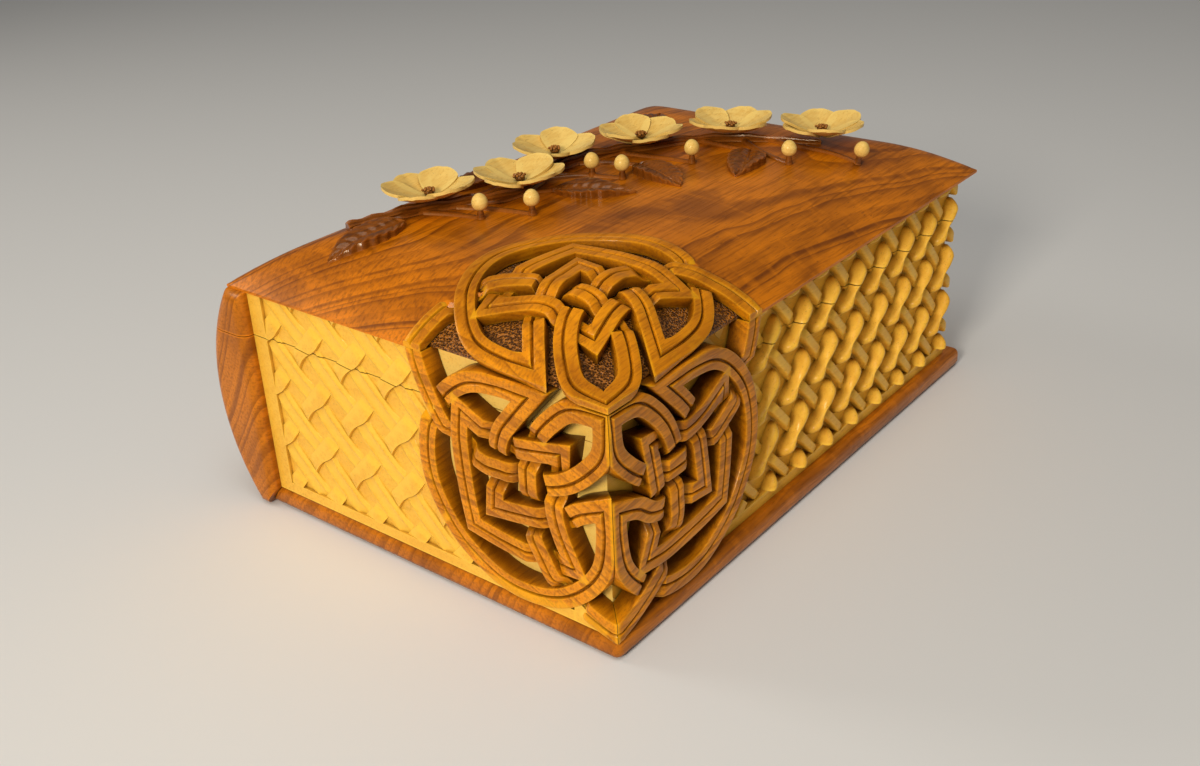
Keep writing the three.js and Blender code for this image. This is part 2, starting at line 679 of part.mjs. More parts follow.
function blossom(place) {
  const steps = BLOSSOM_PETALS * 8;
  const outline = Array.from({ length: steps }, (_, index) => {
    const angle = index / steps * Math.PI * 2;
    const lobe = Math.abs(Math.cos(BLOSSOM_PETALS / 2 * angle));
    const radius = BLOSSOM_RADIUS * (0.3 + 0.7 * lobe ** 0.75);
    return new THREE.Vector2(radius * Math.cos(angle), radius * Math.sin(angle));
  });
  const geometry = new THREE.ExtrudeGeometry(new THREE.Shape(outline), {
    depth: BLOSSOM_THICKNESS,
    bevelEnabled: false,
    steps: 1,
  });
  const place3 = geometry.attributes.position;
  for (let index = 0; index < place3.count; index += 1) {
    const reach = Math.hypot(place3.getX(index), place3.getY(index)) / BLOSSOM_RADIUS;
    place3.setZ(index, place3.getZ(index) + BLOSSOM_CUP * reach * reach);
  }
  return solid(seat(geometry, place, BLOSSOM_SEAT));
}

function blossomCentre(place) {
  const geometry = new THREE.SphereGeometry(CENTRE_RADIUS, 8, 5);
  geometry.rotateX(Math.PI / 2);
  const height = BLOSSOM_SEAT + BLOSSOM_THICKNESS + CENTRE_RADIUS + RELIEF_GAP + BLOSSOM_CUP * 0.09;
  return solid(seat(geometry, place, height));
}

function berry(place) {
  const ball = new THREE.SphereGeometry(BERRY_RADIUS, 8, 6);
  ball.rotateX(Math.PI / 2);
  const stalk = new THREE.CylinderGeometry(BERRY_STALK_RADIUS, BERRY_STALK_RADIUS, BERRY_STALK, 6);
  stalk.rotateX(Math.PI / 2);
  const bottom = RELIEF_GAP;
  const stalkSolid = solid(seat(stalk, place, bottom + BERRY_STALK / 2));
  return stalkSolid.add(solid(seat(ball, place, bottom + BERRY_STALK + BERRY_RADIUS * 0.8)));
}

// Assembly
const book = new THREE.Group();
book.position.set((PAGES_WIDTH + SPINE_MIDDLE_DEPTH) / 2, -BOOK_LENGTH / 2, 0);

function addPiece(name, piece, finish) {
  const made = piece.getMesh();
  const geometry = new THREE.BufferGeometry();
  geometry.setAttribute('position', new THREE.BufferAttribute(made.vertProperties, 3));
  geometry.setIndex(new THREE.BufferAttribute(made.triVerts, 1));
  const mesh = new THREE.Mesh(geometry, new THREE.MeshStandardMaterial(MATERIALS[finish]));
  mesh.name = name;
  book.add(mesh);
}

// Side knots, mitred to each other at the near corner and kept under the cover
const sideSpans = {
  upperSpan: [0, BAND_DIP],
  wholeSpan: [BAND_DIP, KNOT_DEPTH],
  roomSpan: [-1, KNOT_DEPTH + PIECE_GAP],
};
const tailKnot = knotSolids(TIP_ON_TAIL, FRAMES.tail, sideSpans);
const foreKnot = knotSolids(TIP_ON_FORE, FRAMES.fore, sideSpans);
const sideRooms = tailKnot.room.add(foreKnot.room);
const underCover = box([-FAR, -FAR, 0], [0, FAR, BLOCK_TOP - PIECE_GAP]);
const mitreGap = PIECE_GAP / 2 * Math.SQRT2;
const tailSide = prism([[-mitreGap, 0], [-FAR - mitreGap, FAR], [-FAR * 2, FAR], [-FAR * 2, 0]], 0, BLOCK_TOP);
const foreSide = prism([[0, mitreGap], [0, FAR * 2], [-FAR, FAR * 2], [-FAR, FAR + mitreGap]], 0, BLOCK_TOP);
addPiece('tail_knot', tailKnot.whole.add(tailKnot.upper).intersect(underCover).intersect(tailSide), 'walnut');
addPiece('fore_edge_knot', foreKnot.whole.add(foreKnot.upper).intersect(underCover).intersect(foreSide), 'walnut');

// Base board and spine
const hingeCuts = hingeRoom();
const screwSpots = HINGE_PLACES.flatMap(screwPlaces);
const spine = spineBar().subtract(hingeCuts);
const lowerHoles = union(screwSpots.map((spot) => screw(spot, -1, SCREW_CLEARANCE)));
const upperHoles = union(screwSpots.map((spot) => screw(spot, 1, SCREW_CLEARANCE)));
addPiece('base_board', baseBoard().subtract(sideRooms), 'walnut');
addPiece('spine_lower', below(spine).subtract(lowerHoles), 'walnut');
addPiece('spine_upper', above(spine).subtract(upperHoles), 'walnut');

// Page block walls
const endsFrom = FORE_FACE - WALL;
const tailSlab = box([-PAGES_WIDTH, TAIL_FACE, BASE_THICKNESS], [endsFrom, TAIL_FACE + WALL, BLOCK_TOP]);
const headSlab = box([-PAGES_WIDTH, HEAD_FACE - WALL, BASE_THICKNESS], [endsFrom, HEAD_FACE, BLOCK_TOP]);
const foreSlab = box([endsFrom, TAIL_FACE, BASE_THICKNESS], [FORE_FACE, HEAD_FACE, BLOCK_TOP]);
const weaveFrom = BASE_THICKNESS + WEAVE_FOOT;
const tailPanel = [[-endsFrom, weaveFrom], [PAGES_WIDTH - WEAVE_BORDER, BLOCK_TOP]];
const forePanel = [[-HEAD_FACE, weaveFrom], [-TAIL_FACE, BLOCK_TOP]];
const tailFrame = panelFrame([-1, 0, 0], [0, 1, 0], [0, TAIL_FACE, 0]);
const foreFrame = panelFrame([0, -1, 0], [-1, 0, 0], [FORE_FACE, 0, 0]);
const tailWall = wovenWall(tailSlab, TAIL_WEAVE, tailPanel, tailFrame).subtract(sideRooms);
const foreWall = wovenWall(foreSlab, FORE_WEAVE, forePanel, foreFrame).subtract(sideRooms);
addPiece('tail_wall', below(tailWall), 'pale_wood');
addPiece('lid_tail_wall', above(tailWall), 'pale_wood');
addPiece('fore_edge_wall', below(foreWall), 'pale_wood');
addPiece('lid_fore_edge_wall', above(foreWall), 'pale_wood');
addPiece('head_wall', below(headSlab), 'pale_wood');
addPiece('lid_head_wall', above(headSlab), 'pale_wood');

// Cover board with its knot in relief
const coverTall = [-DOME_RISE * 2, KNOT_GROUND * 2];
const coverKnot = knotSolids([TIP_ON_COVER, TIP_ON_COVER], FRAMES.cover, {
  upperSpan: coverTall,
  wholeSpan: coverTall,
  roomSpan: coverTall,
});
const aroundUpper = coverKnot.room.subtract(coverKnot.upper).subtract(domeBlock(0, -BAND_DIP));
const aroundWhole = coverKnot.room.subtract(coverKnot.whole).subtract(domeBlock(0, -KNOT_GROUND));
const raised = coverKnot.upper.intersect(domeBlock(COVER_BOTTOM, KNOT_LIFT));
addPiece('cover_board', domeBlock(COVER_BOTTOM).subtract(aroundUpper).subtract(aroundWhole).add(raised), 'walnut');

// Floral spray
const vineRoom = vine(VINE_HALF_WIDTH + RELIEF_GAP * 2);
addPiece('vine', vine(VINE_HALF_WIDTH), 'walnut_dark');
LEAF_PLACES.forEach((place, index) => {
  const blade = leaf(place, LEAF_TURNS_DEG[index]);
  addPiece(`leaf_${index + 1}`, blade.subtract(vineRoom), 'walnut_dark');
});
BLOSSOMS.forEach((place, index) => {
  addPiece(`blossom_${index + 1}`, blossom(place), 'blossom_wood');
  addPiece(`blossom_${index + 1}_centre`, blossomCentre(place), 'walnut_dark');
});
BERRIES.forEach((place, index) => addPiece(`berry_${index + 1}`, berry(place), 'blossom_wood'));

// Hinges and their screws
HINGE_PLACES.forEach((place, index) => {
  const name = `hinge_${index + 1}`;
  const half = HINGE_LENGTH / 2;
  const third = HINGE_LENGTH / 6;
  const gap = HINGE_RUNNING_GAP / 2;
  const outerKnuckles = [[-half, -third - gap], [third + gap, half]];
  const pin = rod(HINGE_PIN_RADIUS, HINGE_AXIS_X, SEAM_HEIGHT, place - half, place + half);
  addPiece(`${name}_body_leaf`, hingeLeaf(place, -1, outerKnuckles), 'brass');
  addPiece(`${name}_lid_leaf`, hingeLeaf(place, 1, [[-third + gap, third - gap]]), 'brass');
  addPiece(`${name}_pin`, pin, 'brass');
  screwPlaces(place).forEach((spot, number) => {
    addPiece(`${name}_body_screw_${number + 1}`, screw(spot, -1), 'brass');
    addPiece(`${name}_lid_screw_${number + 1}`, screw(spot, 1), 'brass');
  });
});

export default book;
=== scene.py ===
"""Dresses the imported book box: walnut, pale wood and brass over the fixed CAD frame.

The sizes are millimetres in the part's own drawing frame. Its origin is the near corner of the
boards, where the tail face (y = 0) meets the fore-edge (x = 0): x runs negative to the spine, y
positive to the head, z up. A finished piece is moved to the frame that the solids share, in metres.
"""

from __future__ import annotations

import json
import logging
import math
from dataclasses import dataclass, field
from enum import Enum
from functools import partial
from typing import Callable, Iterable, Sequence

import bmesh
import bpy
from mathutils import Matrix, Vector

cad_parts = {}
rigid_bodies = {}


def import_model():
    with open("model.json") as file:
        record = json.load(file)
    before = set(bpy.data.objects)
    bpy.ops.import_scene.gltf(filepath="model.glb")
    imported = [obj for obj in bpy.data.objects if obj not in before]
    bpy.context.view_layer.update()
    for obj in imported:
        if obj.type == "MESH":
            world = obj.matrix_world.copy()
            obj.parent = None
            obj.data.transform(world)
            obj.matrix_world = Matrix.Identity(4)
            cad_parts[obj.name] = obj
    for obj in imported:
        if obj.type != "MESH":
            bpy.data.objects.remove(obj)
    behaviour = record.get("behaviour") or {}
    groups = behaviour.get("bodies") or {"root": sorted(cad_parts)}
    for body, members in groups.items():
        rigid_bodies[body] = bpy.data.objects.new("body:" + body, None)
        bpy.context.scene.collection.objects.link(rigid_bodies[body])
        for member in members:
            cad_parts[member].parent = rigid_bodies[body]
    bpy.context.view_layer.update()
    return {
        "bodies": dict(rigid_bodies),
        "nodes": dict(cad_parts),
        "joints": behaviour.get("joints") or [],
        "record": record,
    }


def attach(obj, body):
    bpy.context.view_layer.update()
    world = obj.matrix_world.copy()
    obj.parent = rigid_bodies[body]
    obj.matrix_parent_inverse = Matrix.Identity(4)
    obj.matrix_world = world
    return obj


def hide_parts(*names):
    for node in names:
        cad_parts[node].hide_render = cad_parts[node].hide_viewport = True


LOG = logging.getLogger("book_box")

Point = tuple[float, float]
Triple = tuple[float, float, float]
Colour = tuple[float, float, float, float]
Mesh = bmesh.types.BMesh
Vert = bmesh.types.BMVert
Edge = bmesh.types.BMEdge
Face = bmesh.types.BMFace
Material = bpy.types.Material
Socket = bpy.types.NodeSocket

# Sizes shared with the solids
BOOK_LENGTH = 212.0
PAGES_WIDTH = 136.6
BLOCK_TOP = 75.0
BASE_THICKNESS = 7.0
SEAM_HEIGHT = 61.0
SEAM_GAP = 0.3
PIECE_GAP = 0.3
MITRE_RUN = 5.0
TAIL_FACE = 0.7
HEAD_FACE = BOOK_LENGTH - 7.8
FORE_FACE = -3.8
WALL = 11.3
SPINE_TOP_DEPTH = 8.0
SPINE_MIDDLE_DEPTH = 20.3
COVER_WIDTH = PAGES_WIDTH + 8.4
KNOT_DEPTH = 6.0
COVER_KNOT_DEPTH = 3.4
SPINE_MARGIN = 5.9

FRAME_SHIFT = ((PAGES_WIDTH + SPINE_MIDDLE_DEPTH) / 2, -BOOK_LENGTH / 2, 0.0)
MM = 0.001
TO_SHARED = Matrix.Scale(MM, 4) @ Matrix.Translation(FRAME_SHIFT)

# How near two points or planes count as one
WELD = 0.001
CUT_TOLERANCE = 0.0001
GROUND_TOLERANCE = 0.01
NEARLY_NONE = 1e-6
PARALLEL = 1e-9
PROBE_STEP = 0.1


class Body(Enum):
    """The two rigid bodies of the box."""

    BODY = "body"
    LID = "lid"


class Side(Enum):
    """The three faces that meet at the near top corner."""

    COVER = "cover"
    TAIL = "tail"
    FORE = "fore_edge"


def smooth_step(low: float, high: float, value: float) -> float:
    """Eases from 0 at low to 1 at high."""
    share = min(max((value - low) / (high - low), 0.0), 1.0)
    return share * share * (3 - 2 * share)


def spline(points: Sequence[Point], steps: int) -> list[Point]:
    """Draws a smooth line through given points.

    Args:
        points: The points that the line passes through.
        steps: The number of stretches between two of them.

    Returns:
        The points of the line, its ends included.
    """
    line: list[Point] = []
    last = len(points) - 1
    for index in range(last):
        before, start = points[max(index - 1, 0)], points[index]
        end, after = points[index + 1], points[min(index + 2, last)]
        for step in range(steps):
            t = step / steps
            place = []
            for a, b, c, d in zip(before, start, end, after):
                bend = (c - a) * 0.5
                leave = (d - b) * 0.5
                cubic = (2 * b - 2 * c + bend + leave) * t ** 3
                place.append(cubic + (-3 * b + 3 * c - 2 * bend - leave) * t ** 2 + bend * t + b)
            line.append((place[0], place[1]))
    line.append(points[last])
    return line


def mirrored(points: Iterable[Point]) -> list[Point]:
    """Swaps the two coordinates of each point."""
    return [(b, a) for a, b in points]


def inside(outline: Sequence[Point], point: Point) -> bool:
    """Tells whether a point lies within a closed outline.

    Args:
        outline: The outline's corners.
        point: The point.

    Returns:
        Whether it does.
    """
    hit = False
    x, y = point
    for index, (ax, ay) in enumerate(outline):
        bx, by = outline[index - 1]
        if (ay > y) != (by > y) and x < (bx - ax) * (y - ay) / (by - ay) + ax:
            hit = not hit
    return hit


@dataclass(frozen=True)
class Dome:
    """The cover board's pillow-shaped top.

    Attributes:
        bottom: The height of its underside.
        arris: The thickness of its rim.
        rise: How far its middle stands over the rim.
        rounding: The width of the rounding along each edge.
        power: How steeply the rounding falls.
        crease: How softly two roundings meet at a corner.
        soft_corner: Where the softer near corner ends, as two distances from it.
    """

    bottom: float = BLOCK_TOP
    arris: float = 0.8
    rise: float = 14.0
    rounding: float = 37.5
    power: float = 2.2
    crease: float = 0.9
    soft_corner: Point = (45.0, 95.0)

    def share(self, distance: float) -> float:
        """Gives the share of the rise at a distance from one edge."""
        inset = min(max(distance / self.rounding, 0.0), 1.0)
        return 1 - (1 - inset) ** self.power

    def top(self, x: float, y: float) -> float:
        """Gives the height of the cover's top over one place.

        Args:
            x: The place across the cover.
            y: The place along it.

        Returns:
            The height.
        """
        shares = [self.share(distance) for distance in (-x, x + COVER_WIDTH, y, BOOK_LENGTH - y)]
        product = math.prod(shares)
        across, along = min(shares[:2]), min(shares[2:])
        lower = min(across, along)
        width = max(self.crease * lower * (1 - lower), NEARLY_NONE)
        crisp = lower - max(width - abs(across - along), 0.0) ** 2 / (4 * width)
        far = smooth_step(*self.soft_corner, math.hypot(x, y))
        return self.bottom + self.arris + self.rise * (product + (crisp - product) * far)

    def normal(self, x: float, y: float) -> Vector:
        """Gives the direction square to the top at one place."""
        step = 0.5
        slope_x = (self.top(x + step, y) - self.top(x - step, y)) / (2 * step)
        slope_y = (self.top(x, y + step) - self.top(x, y - step)) / (2 * step)
        return Vector((-slope_x, -slope_y, 1.0)).normalized()


DOME = Dome()


# Finishes


def rgb(red: float, green: float, blue: float) -> Colour:
    """Gives an opaque linear colour."""
    return (red, green, blue, 1.0)


class Nodes:
    """A short way to add and link nodes in one tree."""

    def __init__(self, tree: bpy.types.NodeTree) -> None:
        """Starts on an empty or a partly filled tree."""
        self.tree = tree

    def add(self, kind: str, inputs: dict | None = None, **settings: object) -> bpy.types.Node:
        """Adds a node.

        Args:
            kind: The node's type name.
            inputs: Values or sockets by the input's name or number.
            **settings: Values of the node's own properties.

        Returns:
            The new node.
        """
        node = self.tree.nodes.new(kind)
        for name, value in settings.items():
            setattr(node, name, value)
        for name, value in (inputs or {}).items():
            if isinstance(value, Socket):
                self.tree.links.new(value, node.inputs[name])
            else:
                node.inputs[name].default_value = value
        return node

    def math(self, operation: str, first: object, second: object = 0.0) -> Socket:
        """Adds a Math node and gives its result."""
        return self.add("ShaderNodeMath", {0: first, 1: second}, operation=operation).outputs[0]

    def ease(
        self, value: object, low: float, high: float, start: float = 0.0, end: float = 1.0,
    ) -> Socket:
        """Maps a value from one range to another, with soft ends."""
        inputs = {"Value": value, "From Min": low, "From Max": high, "To Min": start, "To Max": end}
        return self.add("ShaderNodeMapRange", inputs, interpolation_type="SMOOTHSTEP").outputs[0]

    def mix(self, share: object, first: object, second: object) -> Socket:
        """Mixes two colours."""
        inputs = {0: share, 6: first, 7: second}
        return self.add("ShaderNodeMix", inputs, data_type="RGBA").outputs[2]

    def vector(self, operation: str, first: object, second: object) -> Socket:
        """Adds a Vector Math node on two vectors and gives its vector."""
        return self.add("ShaderNodeVectorMath", {0: first, 1: second}, operation=operation).outputs[0]

    def noise(self, place: object, scale: float, detail: float, **inputs: object) -> bpy.types.Node:
        """Adds a noise over a place."""
        return self.add("ShaderNodeTexNoise", {"Vector": place, "Scale": scale, "Detail": detail, **inputs})

    def row_noise(self, along: object, scale: float, detail: float) -> Socket:
        """Adds a noise along one number and gives its value."""
        inputs = {"W": along, "Scale": scale, "Detail": detail}
        return self.add("ShaderNodeTexNoise", inputs, noise_dimensions="1D").outputs[0]

    def place(self) -> Socket:
        """Gives the place on the object."""
        return self.add("ShaderNodeTexCoord").outputs["Object"]

    def bump(self, height: object, strength: float, distance: float) -> Socket:
        """Turns a height into a normal."""
        inputs = {"Strength": strength, "Distance": distance, "Height": height}
        return self.add("ShaderNodeBump", inputs).outputs[0]

    def surface(self, inputs: dict) -> None:
        """Adds the shader and the material's output."""
        shader = self.add("ShaderNodeBsdfPrincipled", inputs)
        self.add("ShaderNodeOutputMaterial", {"Surface": shader.outputs[0]})


def new_material(name: str) -> tuple[Material, Nodes]:
    """Starts a material.

    Args:
        name: The material's name.

    Returns:
        The material and the node helper of its empty tree.
    """
    material = bpy.data.materials.new(name)
    material.use_nodes = True
    material.node_tree.nodes.clear()
    return material, Nodes(material.node_tree)


def new_group(name: str, sockets: Sequence[tuple[str, str, str]]) -> tuple[bpy.types.NodeTree, Nodes]:
    """Starts a shader node group.

    Args:
        name: The group's name.
        sockets: The name, direction and type of each socket.

    Returns:
        The group's tree and its node helper.
    """
    tree = bpy.data.node_groups.new(name, "ShaderNodeTree")
    for label, direction, kind in sockets:
        tree.interface.new_socket(name=label, in_out=direction, socket_type=kind)
    return tree, Nodes(tree)


@dataclass(frozen=True)
class WoodFigure:
    """The figure of any wood: growth rings, fibre, pores, clouds and curl.

    A scale is in waves to the metre, or to the ring where the noise follows the rings. A range is
    the part of a noise that turns into a mask, a share is a mask's strength, and a run of three
    numbers is a stretch along the axes. The rings wander with the drift, are drawn out along the
    tree by the oval, and differ in width by the year's swing, in rings. The ring run is where in a
    ring the dark late wood starts and where it is darkest.
    """

    drift_scale: float = 19.0
    drift_detail: float = 2.5
    drift_roughness: float = 0.45
    oval: Triple = (1.0, 0.4, 1.0)
    year_scale: float = 0.4
    year_swing: float = 3.0
    ring_run: Point = (0.25, 0.93)
    strength_scale: float = 0.7
    strength_range: Point = (0.3, 0.62)
    strength_share: Point = (0.35, 0.85)
    ground_range: Point = (0.32, 0.66)
    ground_share: float = 0.2
    fibre_scale: float = 1100.0
    fibre_run: Triple = (1.0, 0.05, 1.0)
    fibre_roughness: float = 0.6
    pore_scale: float = 2800.0
    pore_run: Triple = (1.0, 0.12, 1.0)
    pore_range: Point = (0.64, 0.74)
    cloud_scale: float = 38.0
    curl_scale: float = 210.0
    curl_run: Triple = (0.35, 1.0, 0.35)
    fibre_height: float = 0.5
    pore_height: float = -0.6

    def rings(self, nodes: Nodes, radius: Socket, ring_gap: Socket) -> Socket:
        """Builds the mask of the growth rings.

        Args:
            nodes: The group's node helper.
            radius: The distance from the middle of the tree.
            ring_gap: The distance between two rings.

        Returns:
            The mask, 1 in the darkest late wood.
        """
        even = nodes.math("DIVIDE", radius, ring_gap)
        swing = nodes.math("MULTIPLY", nodes.row_noise(even, self.year_scale, 2.0), self.year_swing)
        turns = nodes.math("ADD", even, swing)
        phase = nodes.math("FRACT", turns)
        late = nodes.ease(phase, *self.ring_run)
        early = nodes.ease(phase, self.ring_run[1], 1.0, 1.0, 0.0)
        uneven = nodes.row_noise(turns, self.strength_scale, 3.0)
        strength = nodes.ease(uneven, *self.strength_range, *self.strength_share)
        lines = nodes.math("MULTIPLY", nodes.math("MULTIPLY", late, early), strength)
        ground = nodes.math("MULTIPLY", nodes.ease(uneven, *self.ground_range), self.ground_share)
        return nodes.math("ADD", lines, ground)

    def build(self) -> bpy.types.NodeTree:
        """Builds the group.

        Returns:
            A group that reads a place in metres and gives the masks and a height.
        """
        value, vector = "NodeSocketFloat", "NodeSocketVector"
        tree, nodes = new_group("wood_figure", [
            ("Place", "INPUT", vector), ("Heart", "INPUT", vector), ("Ring Gap", "INPUT", value),
            ("Waver", "INPUT", value), ("Rings", "OUTPUT", value), ("Fibre", "OUTPUT", value),
            ("Pores", "OUTPUT", value), ("Clouds", "OUTPUT", value), ("Curl", "OUTPUT", value),
            ("Height", "OUTPUT", value),
        ])
        given = nodes.add("NodeGroupInput").outputs
        rough = self.drift_roughness
        drift = nodes.noise(given["Place"], self.drift_scale, self.drift_detail, Roughness=rough)
        centred = nodes.vector("SUBTRACT", drift.outputs["Color"], (0.5, 0.5, 0.5))
        scaled = nodes.add("ShaderNodeVectorMath", {0: centred, "Scale": given["Waver"]}, operation="SCALE")
        moved = nodes.vector("ADD", given["Place"], scaled.outputs[0])
        flat = nodes.vector("MULTIPLY", nodes.vector("SUBTRACT", moved, given["Heart"]), self.oval)
        radius = nodes.add("ShaderNodeVectorMath", {0: flat}, operation="LENGTH").outputs["Value"]
        along = nodes.vector("MULTIPLY", moved, self.fibre_run)
        fibre = nodes.noise(along, self.fibre_scale, 3.0, Roughness=self.fibre_roughness).outputs[0]
        pore = nodes.noise(nodes.vector("MULTIPLY", moved, self.pore_run), self.pore_scale, 1.0)
        pores = nodes.ease(pore.outputs[0], *self.pore_range)
        clouds = nodes.noise(moved, self.cloud_scale, 3.0)
        curl = nodes.noise(nodes.vector("MULTIPLY", moved, self.curl_run), self.curl_scale, 2.0)
        raised = nodes.math("MULTIPLY", fibre, self.fibre_height)
        height = nodes.math("ADD", raised, nodes.math("MULTIPLY", pores, self.pore_height))
        nodes.add("NodeGroupOutput", {
            "Rings": self.rings(nodes, radius, given["Ring Gap"]), "Fibre": fibre, "Pores": pores,
            "Clouds": clouds.outputs[0], "Curl": curl.outputs[0], "Height": height,
        })
        return tree


@dataclass(frozen=True)
class EdgeMasks:
    """Masks from the shape itself: arrises for a painted highlight, hollows for painted shade.

    Attributes:
        hollow_range: How open a place in a hollow is, at the darkest and at the palest.
        edge_range: The same within the wood, at an arris.
        edge_width: The width of an arris, in metres.
        samples: The number of rays.
    """

    hollow_range: Point = (0.15, 0.85)
    edge_range: Point = (0.5, 0.9)
    edge_width: float = 0.0009
    samples: int = 6

    def build(self) -> bpy.types.NodeTree:
        """Builds the group.

        Returns:
            A group that gives a mask of the sharp outer edges, for a painted highlight, and one of the
            hollows, for painted shade.
        """
        value = "NodeSocketFloat"
        tree, nodes = new_group("painted_highlight_and_shade", [
            ("Reach", "INPUT", value), ("Edges", "OUTPUT", value), ("Hollows", "OUTPUT", value),
        ])
        given = nodes.add("NodeGroupInput").outputs
        around, within = (
            nodes.add(
                "ShaderNodeAmbientOcclusion", {"Distance": distance}, samples=self.samples, inside=under,
            ).outputs["AO"]
            for distance, under in ((given["Reach"], False), (self.edge_width, True))
        )
        nodes.add("NodeGroupOutput", {
            "Edges": nodes.ease(within, *self.edge_range, 1.0, 0.0),
            "Hollows": nodes.ease(around, *self.hollow_range, 1.0, 0.0),
        })
        return tree


@dataclass(frozen=True)
class Wood:
    """A varnished wood.

    Lengths are in metres. The pale colour lies between the rings and the deep one on them; heart is
    the rings' middle, and waver how far they wander. Figure and curl are how strongly the rings and
    the cross figure show. Painted shade darkens hollows as wide as the reach, towards a shade of the
    deep colour that the pores take too. The curl and highlight gain lightens the pale colour, up to
    the brightest, for the cross figure and for a painted highlight on the sharp outer edges, as strong
    as the highlight share. Two numbers under clouds, curls, streaks or fibres are the range of a mask,
    and a share is its strength. Gloss is what the fibre adds to the roughness, and bump is the grain's
    strength and height.
    """

    name: str
    pale: Colour
    deep: Colour
    heart: Triple = (0.01, 0.0, -0.10)
    ring_gap: float = 0.0017
    waver: float = 0.007
    figure: float = 0.6
    curl: float = 0.2
    roughness: float = 0.38
    coat: float = 0.12
    painted_shade: float = 0.5
    reach: float = 0.006
    curl_and_highlight_gain: float = 1.5
    shade: float = 0.25
    brightest: float = 0.95
    clouds: Point = (0.38, 0.68)
    cloud_share: float = 0.4
    curls: Point = (0.5, 0.72)
    streaks: Point = (0.42, 0.72)
    streak_share: float = 0.5
    pore_share: float = 0.35
    highlight_share: float = 0.6
    fibres: Point = (0.2, 0.8)
    gloss: Point = (-0.06, 0.08)
    bump: Point = (0.3, 0.0002)
    coat_roughness: float = 0.14
    specular: float = 0.3
    tint: Colour = rgb(1.0, 0.72, 0.36)

    def make(self, wood: bpy.types.NodeTree, edge: bpy.types.NodeTree) -> Material:
        """Builds the material.

        Args:
            wood: The wood figure group.
            edge: The edge and hollow group.

        Returns:
            The finished material.
        """
        material, nodes = new_material(self.name)
        figure = nodes.add("ShaderNodeGroup", node_tree=wood)
        for name, value in (("Heart", self.heart), ("Ring Gap", self.ring_gap), ("Waver", self.waver)):
            figure.inputs[name].default_value = value
        material.node_tree.links.new(nodes.place(), figure.inputs["Place"])
        painted_light = nodes.add("ShaderNodeGroup", node_tree=edge)
        painted_light.inputs["Reach"].default_value = self.reach
        seen, painted_light_masks = figure.outputs, painted_light.outputs
        # dark serves the pores and the painted shade in the hollows
        dark = rgb(*(self.shade * part for part in self.deep[:3]))
        # light serves the curl figure and the painted highlight on the sharp edges
        light = rgb(*(min(self.curl_and_highlight_gain * part, self.brightest) for part in self.pale[:3]))
        colour = nodes.mix(nodes.math("MULTIPLY", seen["Rings"], self.figure), self.pale, self.deep)
        clouds = nodes.ease(seen["Clouds"], *self.clouds, 0.0, self.cloud_share)
        colour = nodes.mix(clouds, colour, self.deep)
        colour = nodes.mix(nodes.ease(seen["Curl"], *self.curls, 0.0, self.curl), colour, light)
        streaks = nodes.ease(seen["Fibre"], *self.streaks, 0.0, self.streak_share)
        colour = nodes.mix(streaks, colour, self.deep)
        colour = nodes.mix(nodes.math("MULTIPLY", seen["Pores"], self.pore_share), colour, dark)
        # painted highlight: the sharp outer edges lighten towards the light colour
        colour = nodes.mix(nodes.math("MULTIPLY", painted_light_masks["Edges"], self.highlight_share), colour, light)
        # painted shade: the hollows darken towards the dark colour
        colour = nodes.mix(nodes.math("MULTIPLY", painted_light_masks["Hollows"], self.painted_shade), colour, dark)
        smooth, matt = (self.roughness + change for change in self.gloss)
        nodes.surface({
            "Base Color": colour, "Roughness": nodes.ease(seen["Fibre"], *self.fibres, smooth, matt),
            "Normal": nodes.bump(seen["Height"], *self.bump), "Coat Weight": self.coat,
            "Coat Roughness": self.coat_roughness, "Specular IOR Level": self.specular,
            "Specular Tint": self.tint,
        })
        return material


@dataclass(frozen=True)
class PunchedWood:
    """The knot's ground, punched all over with a small round point.

    Shine is the colour of the raised rims: the wood's own colour with a painted highlight. Each pit
    grows darker towards its middle, down to the pit colour, as painted shade. Spacing is the number
    of pits to the metre, the pit range where a pit's slope starts and ends, in spacings from its
    middle, and bump the relief's strength and height in metres.
    """

    name: str = "punched_walnut"
    shine: Colour = rgb(0.40, 0.14, 0.012)
    pit: Colour = rgb(0.035, 0.009, 0.001)
    spacing: float = 1700.0
    randomness: float = 0.9
    pit_range: Point = (0.1, 0.75)
    bump: Point = (1.0, 0.0007)
    roughness: float = 0.34
    coat: float = 0.4
    coat_roughness: float = 0.2

    def make(self) -> Material:
        """Builds the material and returns it.

        Returns:
            The finished material.
        """
        material, nodes = new_material(self.name)
        inputs = {"Vector": nodes.place(), "Scale": self.spacing, "Randomness": self.randomness}
        pits = nodes.add("ShaderNodeTexVoronoi", inputs)
        depth = nodes.ease(pits.outputs["Distance"], *self.pit_range)
        nodes.surface({
            # painted shade deepens towards each pit's middle; the rims keep the shine colour, with its
            # painted highlight
            "Base Color": nodes.mix(depth, self.pit, self.shine), "Roughness": self.roughness,
            "Normal": nodes.bump(depth, *self.bump), "Coat Weight": self.coat,
            "Coat Roughness": self.coat_roughness,
        })
        return material


